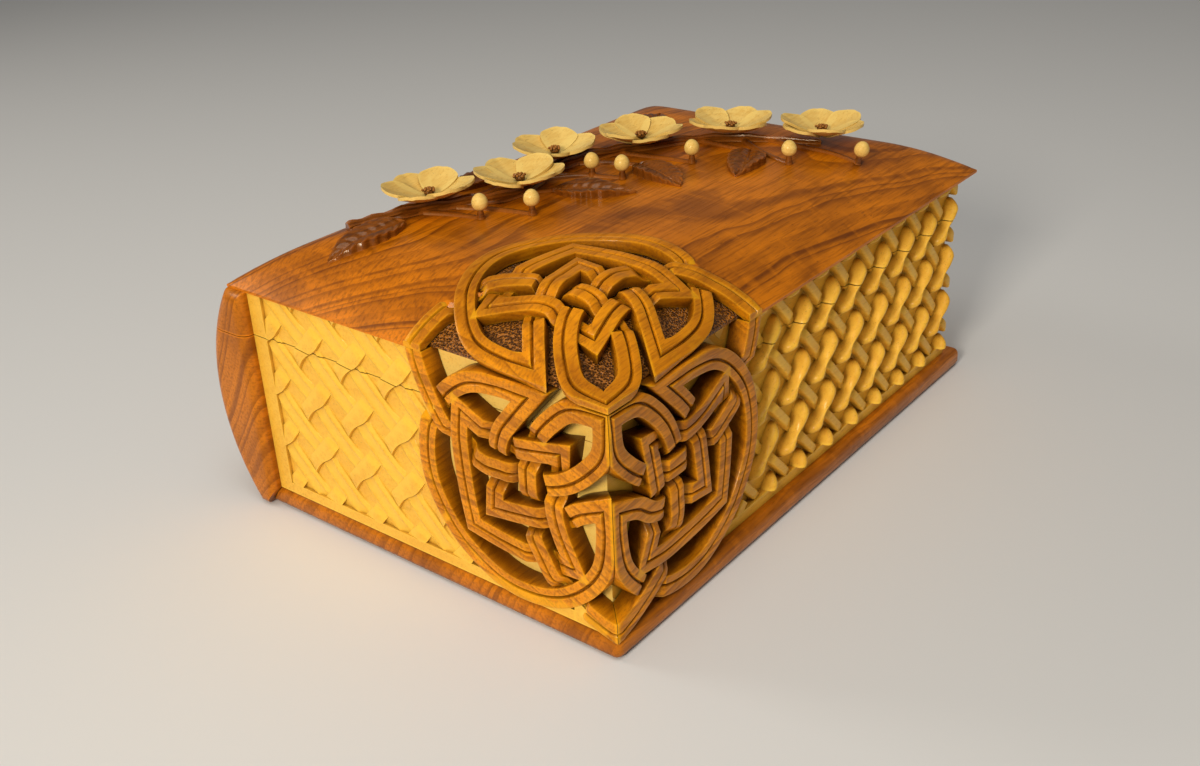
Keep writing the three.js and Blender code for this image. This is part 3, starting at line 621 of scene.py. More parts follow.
@dataclass(frozen=True)
class Brass:
    """Lacquered brass, brushed along the hinge and dulled in spots.

    Spots and spot gloss are two ranges of one noise, gloss is the roughness of the clean and of the
    dulled metal, and bump the brushing's strength and height in metres.
    """

    name: str = "hinge_brass"
    bright: Colour = rgb(0.72, 0.5, 0.2)
    dull: Colour = rgb(0.4, 0.25, 0.09)
    brush_run: Triple = (1.0, 0.05, 1.0)
    brush_scale: float = 2400.0
    spot_scale: float = 260.0
    spots: Point = (0.45, 0.7)
    spot_gloss: Point = (0.3, 0.7)
    gloss: Point = (0.22, 0.42)
    bump: Point = (0.2, 0.00005)

    def make(self) -> Material:
        """Builds the material and returns it.

        Returns:
            The finished material.
        """
        material, nodes = new_material(self.name)
        place = nodes.place()
        along = nodes.add("ShaderNodeMapping", {"Vector": place, "Scale": self.brush_run}).outputs[0]
        brushed = nodes.noise(along, self.brush_scale, 2.0).outputs[0]
        spots = nodes.noise(place, self.spot_scale, 4.0).outputs[0]
        nodes.surface({
            "Base Color": nodes.mix(nodes.ease(spots, *self.spots), self.bright, self.dull), "Metallic": 1.0,
            "Roughness": nodes.ease(spots, *self.spot_gloss, *self.gloss),
            "Normal": nodes.bump(brushed, *self.bump),
        })
        return material


@dataclass(frozen=True)
class Backdrop:
    """A plain pale floor."""

    name: str = "pale_floor"
    colour: Colour = rgb(0.76, 0.76, 0.75)
    roughness: float = 0.9

    def make(self) -> Material:
        """Builds the material and returns it.

        Returns:
            The finished material.
        """
        material, nodes = new_material(self.name)
        nodes.surface({"Base Color": self.colour, "Roughness": self.roughness})
        return material


@dataclass
class Finishes:
    """Every material of the box, made once.

    The boards are the base board and the spine, the relief is the spray's twigs and leaves, and the
    ground is the pale wood behind the side knots, made brighter than the walls as painted light in
    the knots' rooms.
    """

    cover: Material = field(init=False)
    bands: Material = field(init=False)
    boards: Material = field(init=False)
    relief: Material = field(init=False)
    pale: Material = field(init=False)
    ground: Material = field(init=False)
    blossom: Material = field(init=False)
    seed: Material = field(init=False)
    punched: Material = field(init=False)
    brass: Material = field(init=False)

    def __post_init__(self) -> None:
        """Makes the groups and the materials."""
        wood, edge = WoodFigure().build(), EdgeMasks().build()
        self.cover = Wood(
            "walnut_cover", rgb(0.74, 0.21, 0.002), rgb(0.11, 0.02, 0.001), heart=(0.035, -0.03, -0.10),
            ring_gap=0.0018, waver=0.0034, figure=0.75, curl=0.3, curl_and_highlight_gain=1.2,
        ).make(wood, edge)
        self.bands = Wood(
            "walnut_bands", rgb(0.86, 0.295, 0.004), rgb(0.20, 0.045, 0.001), ring_gap=0.0028, waver=0.007,
            figure=0.6, painted_shade=0.95, curl=0.15, reach=0.014,
        ).make(wood, edge)
        self.boards = Wood(
            "walnut_boards", rgb(0.64, 0.19, 0.005), rgb(0.15, 0.034, 0.002), heart=(-0.2, 0.0, 0.12),
            ring_gap=0.0032, figure=0.6,
        ).make(wood, edge)
        self.relief = Wood(
            "walnut_relief", rgb(0.27, 0.075, 0.006), rgb(0.06, 0.013, 0.001), roughness=0.32, coat=0.35,
        ).make(wood, edge)
        self.pale = Wood(
            "pale_wood", rgb(0.94, 0.54, 0.06), rgb(0.78, 0.36, 0.03), curl_and_highlight_gain=1.08, figure=0.25, ring_gap=0.004,
            painted_shade=0.75, roughness=0.36, curl=0.0, reach=0.003,
        ).make(wood, edge)
        # painted light: a brighter copy of the pale wood, with little painted shade, for the knots' room
        # floors
        self.ground = Wood(
            "pale_ground_painted_light", rgb(0.98, 0.66, 0.16), rgb(0.92, 0.53, 0.09), curl_and_highlight_gain=1.0, figure=0.2, ring_gap=0.004,
            painted_shade=0.1, roughness=0.4, curl=0.0, reach=0.002,
        ).make(wood, edge)
        self.blossom = Wood(
            "blossom_wood", rgb(0.94, 0.65, 0.19), rgb(0.72, 0.40, 0.07), curl_and_highlight_gain=1.05, figure=0.35,
            ring_gap=0.0018, painted_shade=0.7, roughness=0.36, curl=0.0,
        ).make(wood, edge)
        self.seed = Wood(
            "seed_wood", rgb(0.30, 0.115, 0.02), rgb(0.09, 0.026, 0.004), painted_shade=0.9, roughness=0.4,
        ).make(wood, edge)
        self.punched = PunchedWood().make()
        self.brass = Brass().make()


# Shaping


def of_kind(items: Iterable[object], kind: type) -> list:
    """Picks the vertices, the edges or the faces out of an operator's result."""
    return [item for item in items if isinstance(item, kind)]


def edges_of(verts: Iterable[Vert]) -> list[Edge]:
    """Gives the edges at some vertices, each once and in order."""
    return list(dict.fromkeys(edge for vert in verts for edge in vert.link_edges))


def faces_of(verts: Iterable[Vert]) -> list[Face]:
    """Gives the faces at some vertices, each once and in order."""
    return list(dict.fromkeys(face for vert in verts for face in vert.link_faces))


def new_object(name: str, data: object) -> bpy.types.Object:
    """Adds an object to the scene."""
    item = bpy.data.objects.new(name, data)
    bpy.context.scene.collection.objects.link(item)
    return item


def finish_piece(
    bm: Mesh,
    name: str,
    body: Body,
    materials: Sequence[Material],
    stands_for: Sequence[str] = (),
    sharp: float = 38.0,
) -> None:
    """Turns a bmesh in the drawing frame into a piece of the box, at the origin.

    Args:
        bm: The shape, which is freed.
        name: The piece's name.
        body: The body that it moves with.
        materials: Its materials, in the order of the faces' material numbers.
        stands_for: The CAD nodes that it replaces.
        sharp: The angle in degrees past which an edge stays sharp.
    """
    bmesh.ops.recalc_face_normals(bm, faces=bm.faces)
    bmesh.ops.transform(bm, matrix=TO_SHARED, verts=bm.verts)
    mesh = bpy.data.meshes.new(name)
    bm.to_mesh(mesh)
    bm.free()
    mesh.shade_smooth()
    mesh.set_sharp_from_angle(angle=math.radians(sharp))
    for material in materials:
        mesh.materials.append(material)
    piece = new_object(name, mesh)
    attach(piece, body.value)
    if stands_for:
        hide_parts(*stands_for)
    LOG.info("%s: %d faces", name, len(mesh.polygons))


def block(
    bm: Mesh, low: Sequence[float], high: Sequence[float], rounding: float = 0.0, segments: int = 2,
) -> None:
    """Adds a box with rounded edges.

    Args:
        bm: The mesh that it is added to.
        low: Its lowest corner.
        high: Its highest corner.
        rounding: The radius of its edges.
        segments: The number of facets over each rounding.
    """
    size = [b - a for a, b in zip(low, high)]
    middle = [(a + b) / 2 for a, b in zip(low, high)]
    matrix = Matrix.Translation(middle) @ Matrix.Diagonal((*size, 1.0))
    verts = bmesh.ops.create_cube(bm, size=1.0, matrix=matrix)["verts"]
    if rounding > 0:
        bmesh.ops.bevel(
            bm, geom=edges_of(verts), offset=rounding, offset_type="OFFSET", affect="EDGES",
            segments=segments, profile=0.5, material=-1,
        )


def cut(bm: Mesh, point: Sequence[float], keep: Sequence[float]) -> None:
    """Cuts a mesh by a plane, keeps one side and closes the cut.

    Args:
        bm: The mesh.
        point: A point on the plane.
        keep: The direction from the plane to the side that stays.
    """
    made = bmesh.ops.bisect_plane(
        bm, geom=[*bm.verts, *bm.edges, *bm.faces], dist=CUT_TOLERANCE, plane_co=point, plane_no=keep,
        clear_inner=True,
    )
    rim = of_kind(made["geom_cut"], Edge)
    if rim:
        bmesh.ops.holes_fill(bm, edges=rim, sides=0)


def saw(bm: Mesh, upper: bool) -> Body:
    """Saws a shape in two at the lid's cut and keeps one half.

    Args:
        bm: The mesh.
        upper: Whether the upper half stays.

    Returns:
        The body that the half belongs to.
    """
    sign = 1 if upper else -1
    cut(bm, (0, 0, SEAM_HEIGHT + sign * SEAM_GAP / 2), (0, 0, sign))
    return Body.LID if upper else Body.BODY


def draw_out(bm: Mesh, face: Face, way: Sequence[float]) -> None:
    """Extrudes a face into a solid."""
    grown = bmesh.ops.extrude_face_region(bm, geom=[face])["geom"]
    bmesh.ops.translate(bm, vec=way, verts=of_kind(grown, Vert))


def close_below(bm: Mesh, rim: Sequence[Edge], level: Callable[[Vector], float]) -> None:
    """Closes an open sheet with walls down to a level and a bottom.

    Args:
        bm: The mesh.
        rim: The sheet's rim.
        level: The height of the bottom under a place.
    """
    grown = bmesh.ops.extrude_edge_only(bm, edges=rim)["geom"]
    for vert in of_kind(grown, Vert):
        vert.co.z = level(vert.co)
    bmesh.ops.holes_fill(bm, edges=of_kind(grown, Edge), sides=0)


def sweep(bm: Mesh, profile: Sequence[Point], stations: Sequence[Matrix], closed: bool) -> None:
    """Carries a closed profile along a row of places.

    Args:
        bm: The mesh that the band is added to.
        profile: The outline, as distances across and outward.
        stations: The place, direction and width of the outline at each step.
        closed: Whether the band comes back to its start.
    """
    made = [bm.verts.new(stations[0] @ Vector((across, out, 0.0))) for across, out in profile]
    start = edges = [bm.edges.new((made[index - 1], vert)) for index, vert in enumerate(made)]
    placed = stations[0]
    for station in [*stations[1:], *(stations[:1] if closed else ())]:
        grown = bmesh.ops.extrude_edge_only(bm, edges=edges)["geom"]
        verts, edges = of_kind(grown, Vert), of_kind(grown, Edge)
        bmesh.ops.transform(bm, matrix=station @ placed.inverted(), verts=verts)
        made += verts
        placed = station
    if closed:
        bmesh.ops.remove_doubles(bm, verts=made, dist=WELD)
    else:
        bmesh.ops.holes_fill(bm, edges=start + edges, sides=0)


# The interlaced knots


@dataclass(frozen=True)
class Strand:
    """One band of the knot.

    Attributes:
        legs: Its smooth stretches, which meet in sharp corners.
        owners: The name that each leg goes by where bands cross.
        closed: Whether it comes back to its start.
        groove: Where the groove lies across it.
    """

    legs: tuple[tuple[Point, ...], ...]
    owners: tuple[str, ...]
    closed: bool
    groove: float


@dataclass(frozen=True)
class Crossing:
    """A place where one band passes under another."""

    under: str
    point: Point


@dataclass
class KnotDesign:
    """The plan of one knot, in millimetres from the near top corner along the two edges.

    The points are given for one side of the plan's diagonal, and mirrored for the other.
    The room is bounded by the loop from its link point on, by the ring from its own point on, each
    with a lap of a few steps, and by a point beyond the corner. Lines that meet within the start
    skip don't cross there: they start together.

    Attributes:
        tips: The distances of the ring's two tips from the corner.
    """

    tips: Point = (25.4, 25.4)
    steps: int = 7
    tip_offset: float = 3.0
    turn_point: Point = (2.2, 2.2)
    loop_points: tuple[Point, ...] = (
        (12.2, 3.0), (19.1, 8.1), (24.8, 15.4), (27.9, 24.5), (28, 37), (28, 44), (24.4, 51.5),
        (20.6, 57.2), (11.5, 62.4), (3.2, 65.4), (-8, 67.4),
    )
    ring_points: tuple[Point, ...] = (
        (37.5, 2.9), (47.8, 4.9), (56.3, 11.2), (62.4, 19.9), (65, 30.4), (64.1, 41), (58.6, 51.6),
    )
    inner_points: tuple[Point, ...] = ((32.4, 11.3), (37, 18), (39.4, 29.5))
    inner_corner: float = 41.0
    diamond_near: float = 16.6
    diamond_side: Point = (50.6, 13.8)
    diamond_far: float = 49.5
    diamond_inner_bow: tuple[Point, ...] = ((27.3, 18.8), (34.5, 19.6), (42, 17.8))
    diamond_outer_bow: tuple[Point, ...] = ((51.8, 22), (51.6, 32), (50.8, 41))
    link_from: int = 8
    link_lap: int = 3
    ring_from: int = 4
    ring_lap: int = 4
    beyond: Point = (-40.0, -40.0)
    start_skip: float = 1.5

    def loop(self) -> list[Point]:
        """Gives the corner loop's line, from the near corner to its tail."""
        return spline([self.turn_point, *self.loop_points], self.steps)

    def tip_points(self) -> tuple[Point, Point]:
        """Gives the ring's two tips."""
        return (self.tips[0], self.tip_offset), (self.tip_offset, self.tips[1])

    def ring(self) -> list[Point]:
        """Gives the ring's line from tip to tip."""
        first, second = self.tip_points()
        return spline([first, *self.ring_points, *reversed(mirrored(self.ring_points)), second], self.steps)

    def inner_legs(self) -> tuple[list[Point], list[Point]]:
        """Gives the two stretches of the inner return, which meet in a corner."""
        first, second = self.tip_points()
        corner = (self.inner_corner, self.inner_corner)
        out = spline([first, *self.inner_points, corner], self.steps)
        return out, spline([corner, *reversed(mirrored(self.inner_points)), second], self.steps)

    def inner(self) -> list[Point]:
        """Gives the ring's inner return from tip to tip."""
        out, back = self.inner_legs()
        return out + back[1:]

    def diamond_legs(self) -> list[list[Point]]:
        """Gives the four sides of the closed diamond.

        Returns:
            Their lines, in order round it.
        """
        near, far, side = (self.diamond_near,) * 2, (self.diamond_far,) * 2, self.diamond_side
        inner, outer = self.diamond_inner_bow, self.diamond_outer_bow
        other = side[::-1]
        return [
            spline([near, *inner, side], self.steps),
            spline([side, *outer, far], self.steps),
            spline([far, *reversed(mirrored(outer)), other], self.steps),
            spline([other, *reversed(mirrored(inner)), near], self.steps),
        ]

    def diamond(self) -> list[Point]:
        """Gives the closed diamond's line."""
        legs = self.diamond_legs()
        return legs[0][:1] + [point for leg in legs for point in leg[1:]]

    def strands(self) -> list[Strand]:
        """Gives the knot's bands: the two halves of the corner loop, the rim and the diamond.

        Returns:
            The bands.
        """
        out, back = self.inner_legs()
        rim = (tuple(self.ring()), tuple(reversed(back)), tuple(reversed(out)))
        loops = (tuple(mirrored(self.loop())[::-1]), tuple(self.loop()))
        return [
            Strand(loops, ("other_loop", "loop"), False, -0.5),
            Strand(rim, ("rim",) * 3, True, 0.35),
            Strand(tuple(tuple(leg) for leg in self.diamond_legs()), ("diamond",) * 4, True, 0.0),
        ]

    def crossings(self) -> list[Crossing]:
        """Works out which band passes under at each crossing: each goes over and under in turn.

        Returns:
            The crossings, each with the band that passes under.
        """
        lines = {
            "loop": self.loop(),
            "other_loop": mirrored(self.loop()),
            "ring": self.ring(),
            "inner": self.inner(),
            "diamond": self.diamond(),
        }
        walks = (
            ("loop", True, ("other_loop", "inner", "diamond", "ring")),
            ("other_loop", False, ("loop", "inner", "diamond", "ring")),
            ("inner", False, ("loop", "other_loop", "diamond")),
        )
        owner = {"ring": "rim", "inner": "rim"}
        found = []
        for name, over, meets in walks:
            met = [
                (along, other, point)
                for other in meets
                for along, point in self.meetings(lines[name], lines[other])
            ]
            for index, (_, other, point) in enumerate(sorted(met)):
                passes_over = (index % 2 == 0) == over
                lower = other if passes_over else name
                found.append(Crossing(owner.get(lower, lower), point))
        return found

    def meetings(self, line: Sequence[Point], other: Sequence[Point]) -> list[tuple[float, Point]]:
        """Finds where two lines cross.

        Args:
            line: The line that the places are counted along.
            other: The line that it meets.

        Returns:
            The distance along the first line, in steps, and the point, for each crossing.
        """
        found = []
        for i, (p, p2) in enumerate(zip(line, line[1:])):
            own = (p2[0] - p[0], p2[1] - p[1])
            for q, q2 in zip(other, other[1:]):
                their = (q2[0] - q[0], q2[1] - q[1])
                cross = own[0] * their[1] - own[1] * their[0]
                if abs(cross) < PARALLEL:
                    continue
                gap = (q[0] - p[0], q[1] - p[1])
                t = (gap[0] * their[1] - gap[1] * their[0]) / cross
                u = (gap[0] * own[1] - gap[1] * own[0]) / cross
                if 0 <= t < 1 and 0 <= u < 1 and i + t > self.start_skip:
                    found.append((i + t, (p[0] + own[0] * t, p[1] + own[1] * t)))
        return found

    def room(self) -> list[Point]:
        """Gives the outline of the knot's room, which runs under its outer bands."""
        tail = self.loop()[self.link_from * self.steps - self.link_lap:]
        lead = self.ring_from * self.steps - self.ring_lap
        return [self.beyond, *mirrored(tail)[::-1], *self.ring()[lead:-lead][::-1], *tail]


@dataclass
class Knot:
    """One knot as carved bands on one face of the box.

    Attributes:
        dip: How far a band dips where it passes under another.
        dip_run: Where the dip is full and where it ends, past the other band's edge.
        lift: How far the other bands rise there.
        lift_run: Where the rise ends, past the band's edge.
        cover_lift: How far the cover's knot stands over the dome.
        side_sink: The least depth of a side knot's bands under the face.
        mitre_slack: How much longer than the band asks a mitred corner is kept clear.
        corner_reach: Where the greater radius ends, as two distances from the corner.
    """

    side: Side
    design: KnotDesign
    half: float = 3.1
    depth: float = KNOT_DEPTH
    groove_depth: float = 0.95
    dip: float = 2.0
    dip_run: Point = (0.2, 3.4)
    lift: float = 0.35
    lift_run: float = 3.0
    cover_lift: float = 1.0
    side_sink: float = 0.07
    mitre_slack: float = 1.08
    top_rounding: float = 2.2
    far_rounding: float = 0.3
    corner_rounding: float = 0.8
    corner_reach: Point = (24.0, 42.0)
    room_reach: float = 4.0
    mitre_gap: float = 0.05
    top_gap: float = 0.12

    def place(self, point: Point, out: float) -> Vector:
        """Puts a point of the plan on the box.

        Args:
            point: The point in the plan.
            out: The distance outward from the face.

        Returns:
            The place in the drawing frame.
        """
        p, q = point
        if self.side is Side.COVER:
            return Vector((-p, q, DOME.top(-p, q) + self.cover_lift + out))
        if self.side is Side.TAIL:
            return Vector((-q, -out, BLOCK_TOP - p))
        return Vector((out, p, BLOCK_TOP - q))

    def outward(self) -> Vector:
        """Gives the direction out of the box on this side."""
        directions = {Side.COVER: (0, 0, 1), Side.TAIL: (0, -1, 0), Side.FORE: (1, 0, 0)}
        return Vector(directions[self.side])

    def profile(self, groove: float) -> list[Point]:
        """Draws a band's outline: two rounded ribs with a groove between them.

        Args:
            groove: Where the groove lies across the band.

        Returns:
            The outline, as distances across and outward.
        """
        half, deep = self.half, self.groove_depth
        return [
            (-half, -self.depth), (-half, -0.35), (-half + 0.1, -0.12), (-half + 0.4, 0.0),
            (-half + 0.9, 0.02), (groove - 0.75, -0.02), (groove - 0.5, -0.12),
            (groove - 0.05, -deep), (groove + 0.05, -deep),
            (groove + 0.45, -0.1), (groove + 0.6, 0.06), (half - 0.9, 0.04), (half - 0.4, 0.0),
            (half - 0.1, -0.12), (half, -0.35), (half, -self.depth),
        ]

    def height(self, owner: str, point: Point, crossings: Sequence[Crossing]) -> float:
        """Gives a band's height at a point: it dips under some bands and rises over the others.

        Args:
            owner: The band's name at crossings.
            point: The point in the plan.
            crossings: The knot's crossings.

        Returns:
            The height over the face.
        """
        out = 0.0
        full, gone = (self.half + run for run in self.dip_run)
        for crossing in crossings:
            distance = math.dist(point, crossing.point)
            if crossing.under == owner:
                out -= self.dip * (1 - smooth_step(full, gone, distance))
            else:
                out += self.lift * (1 - smooth_step(0.0, self.half + self.lift_run, distance))
        return out if self.side is Side.COVER else min(out, -self.side_sink)

    def stations(self, strand: Strand, crossings: Sequence[Crossing]) -> list[Matrix]:
        """Works out where a band's outline stands at each step, with mitred corners.

        Args:
            strand: The band.
            crossings: The knot's crossings.

        Returns:
            One matrix for each step.
        """
        found = []
        legs = strand.legs
        for number, (leg, owner) in enumerate(zip(legs, strand.owners)):
            before = legs[number - 1] if strand.closed or number else None
            after = legs[(number + 1) % len(legs)] if strand.closed or number < len(legs) - 1 else None
            line = [Vector(point) for point in leg]
            start_cut = self.mitre_reach(before, leg) if before else -1.0
            end_cut = self.mitre_reach(leg, after) if after else -1.0
            last = len(line) - 1
            for index, point in enumerate(line):
                if index == last and after:
                    continue
                leave = (line[index + 1] - point if index < last else point - line[index - 1]).normalized()
                arrive = (point - line[index - 1]).normalized() if index else leave
                if index == 0 and before:
                    arrive = (Vector(before[-1]) - Vector(before[-2])).normalized()
                elif (point - line[0]).length < start_cut or (point - line[last]).length < end_cut:
                    continue
                side = Vector((-arrive.y, arrive.x))
                normal = (side + Vector((-leave.y, leave.x))).normalized()
                width = 1 / max(normal.dot(side), 0.2)
                found.append(self.station(point, normal, width, self.height(owner, tuple(point), crossings)))
        return found

    def station(self, point: Vector, normal: Vector, width: float, out: float) -> Matrix:
        """Gives the frame of the band's outline at one point.

        Args:
            point: The point in the plan.
            normal: The direction across the band in the plan.
            width: How much wider than the band the outline is there.
            out: Its height over the face.

        Returns:
            The frame, with the outline's directions across and outward.
        """
        spot = self.place(tuple(point), out)
        step = normal * PROBE_STEP
        aside = self.place((point.x + step.x, point.y + step.y), out) - spot
        along = self.place((point.x + step.y, point.y - step.x), out) - spot
        if self.side is Side.COVER:
            along.z = 0.0
        across = (aside - along * (aside.dot(along) / along.dot(along))).normalized()
        outward = across.cross(along).normalized()
        if outward.dot(self.outward()) < 0:
            outward.negate()
        matrix = Matrix((across * width, outward, across.cross(outward))).transposed().to_4x4()
        matrix.translation = spot
        return matrix

    def mitre_reach(self, leg: Sequence[Point], after: Sequence[Point]) -> float:
        """Gives how far the mitre between two legs reaches along the band.

        Args:
            leg: The leg that ends at the mitre.
            after: The leg that starts there.

        Returns:
            The reach.
        """
        arrive = (Vector(leg[-1]) - Vector(leg[-2])).normalized()
        leave = (Vector(after[1]) - Vector(after[0])).normalized()
        turn = math.acos(min(max(arrive.dot(leave), -1.0), 1.0))
        return self.half * self.mitre_slack * math.tan(turn / 2)

    def covers(self, place: Vector) -> bool:
        """Tells whether a place on a wall lies within a side knot's room.

        Args:
            place: The place.

        Returns:
            Whether it does.
        """
        if self.side is Side.TAIL:
            point, deep = (BLOCK_TOP - place.z, -place.x), place.y
        else:
            point, deep = (place.y, BLOCK_TOP - place.z), -place.x
        return deep < self.depth and inside(self.design.room(), point)

    def is_ground(self, place: Vector) -> bool:
        """Tells whether a place lies on the ground of a side knot's room."""
        deep = place.y if self.side is Side.TAIL else -place.x
        return abs(deep - self.depth - PIECE_GAP) < GROUND_TOLERANCE

    def room_solid(self) -> Mesh:
        """Gives the room that a side knot takes out of the walls, as a solid.

        Returns:
            The solid.
        """
        bm = bmesh.new()
        verts = [bm.verts.new(self.place(point, self.room_reach)) for point in self.design.room()]
        face = bmesh.ops.contextual_create(bm, geom=verts)["faces"][0]
        inner, outer = self.place((0, 0), -self.depth - PIECE_GAP), self.place((0, 0), self.room_reach)
        draw_out(bm, face, inner - outer)
        bmesh.ops.recalc_face_normals(bm, faces=bm.faces)
        return bm

    def soften(self, bm: Mesh) -> None:
        """Rounds the bands over the box's edges on a side face.

        Args:
            bm: The mesh.
        """
        for vert in bm.verts:
            inset = vert.co.y if self.side is Side.TAIL else -vert.co.x
            along = -vert.co.x if self.side is Side.TAIL else vert.co.y
            near = 1 - smooth_step(*self.corner_reach, along)
            top_radius = self.far_rounding + (self.top_rounding - self.far_rounding) * near
            push = 0.0
            for distance, radius in ((along, self.corner_rounding), (BLOCK_TOP - vert.co.z, top_radius)):
                if distance < radius:
                    push += radius - math.sqrt(max(radius ** 2 - (radius - max(distance, 0.0)) ** 2, 0.0))
            push *= max(1 - inset / self.depth, 0.0)
            if self.side is Side.TAIL:
                vert.co.y += push
            else:
                vert.co.x -= push

    def build(self, finishes: Finishes) -> None:
        """Builds the bands, cuts them to the box's edges and dresses them.

        Args:
            finishes: The box's materials.
        """
        bm = bmesh.new()
        crossings = self.design.crossings()
        for strand in self.design.strands():
            sweep(bm, self.profile(strand.groove), self.stations(strand, crossings), strand.closed)
        if self.side is Side.COVER:
            cut(bm, (0, 0, 0), (0, 1, 0))
            cut(bm, (0, 0, 0), (-1, 0, 0))
            cut(bm, (0, 0, BLOCK_TOP), (0, 0, 1))
            finish_piece(bm, "cover_knot", Body.LID, [finishes.bands])
            return
        self.soften(bm)
        mitre = (-1, -1, 0) if self.side is Side.TAIL else (1, 1, 0)
        cut(bm, (mitre[0] * self.mitre_gap, mitre[1] * self.mitre_gap, 0), mitre)
        cut(bm, (0, 0, BLOCK_TOP - self.top_gap), (0, 0, -1))
        name = self.side.value + "_knot"
        finish_piece(bm, name + "_bands", Body.BODY, [finishes.bands], [name])


# Boards


@dataclass
class CoverBoard:
    """The domed cover with the knot's sunk and punched ground.

    Attributes:
        ground: How far the ground is sunk.
        skin: How far its lowest places stay over the board's underside.
        margin: How far inside the room the board may be open, where the ground runs out of it.
        arris_lines: The distances of the lines beside an edge.
    """

    design: KnotDesign
    ground: float = 3.0
    skin: float = 0.02
    margin: float = 1.4
    cells: tuple[int, int] = (112, 164)
    arris_lines: tuple[float, ...] = (0.12, 0.45, 1.4, 2.75)

    def lines(self, length: float, cells: int) -> list[float]:
        """Spreads the grid's lines over one side of the cover, with fixed lines by its edges.

        Args:
            length: The length of the side.
            cells: The number of cells.

        Returns:
            The distances from the near edge.
        """
        head = list(self.arris_lines)
        tail = [length - value for value in reversed(self.arris_lines[:2])]
        inner = cells + 1 - len(head) - len(tail)
        start, end = head[-1], tail[0]
        return head + [start + (end - start) * (k + 1) / (inner + 1) for k in range(inner)] + tail

    def open_below(self, room: Sequence[Point], point: Point) -> bool:
        """Tells whether a place and all beside it lie in the knot's room."""
        p, q = point
        margin = self.margin
        around = ((p + margin, q), (p, q + margin), (p - margin, q), (p, q - margin))
        return all(inside(room, place) for place in around)

    def build(self, finishes: Finishes) -> None:
        """Builds the board from a grid and dresses it.

        Args:
            finishes: The box's materials.
        """
        bm = bmesh.new()
        nx, ny = self.cells
        bmesh.ops.create_grid(bm, x_segments=nx, y_segments=ny, size=1.0)
        xs, ys = self.lines(COVER_WIDTH, nx), self.lines(BOOK_LENGTH, ny)
        room, lowest = self.design.room(), BLOCK_TOP + self.skin
        gone = []
        for vert in bm.verts:
            x, y = -xs[round((1 - vert.co.x) / 2 * nx)], ys[round((vert.co.y + 1) / 2 * ny)]
            top = DOME.top(x, y)
            if inside(room, (-x, y)):
                top -= self.ground
                if top < lowest and self.open_below(room, (-x, y)):
                    gone.append(vert)
                top = max(top, lowest)
            vert.co = Vector((x, y, top))
        bmesh.ops.delete(bm, geom=gone, context="VERTS")
        for face in bm.faces:
            centre = face.calc_center_median()
            face.material_index = 1 if inside(room, (-centre.x, centre.y)) else 0
        close_below(bm, [edge for edge in bm.edges if edge.is_boundary], lambda place: BLOCK_TOP)
        woods = [finishes.cover, finishes.punched]
        finish_piece(bm, "domed_cover", Body.LID, woods, ["cover_board"])


@dataclass
class BaseBoard:
    """The base board with rounded edges, mitred to the spine.

    Attributes:
        rounding: The radius of its edges.
        segments: The number of facets over each.
        spine_lap: How far it runs under the spine before it is mitred.
    """

    rounding: float = 2.5
    segments: int = 5
    spine_lap: float = 20.0

    def build(self, finishes: Finishes) -> None:
        """Builds the board and dresses it.

        Args:
            finishes: The box's materials.
        """
        bm = bmesh.new()
        low, high = (-PAGES_WIDTH - self.spine_lap, 0, 0), (0, BOOK_LENGTH, BASE_THICKNESS)
        block(bm, low, high, self.rounding, self.segments)
        slant = Vector((BASE_THICKNESS, 0, -MITRE_RUN)).normalized()
        cut(bm, (-PAGES_WIDTH + PIECE_GAP / 2, 0, BASE_THICKNESS), slant)
        finish_piece(bm, "rounded_base", Body.BODY, [finishes.boards], ["base_board"])


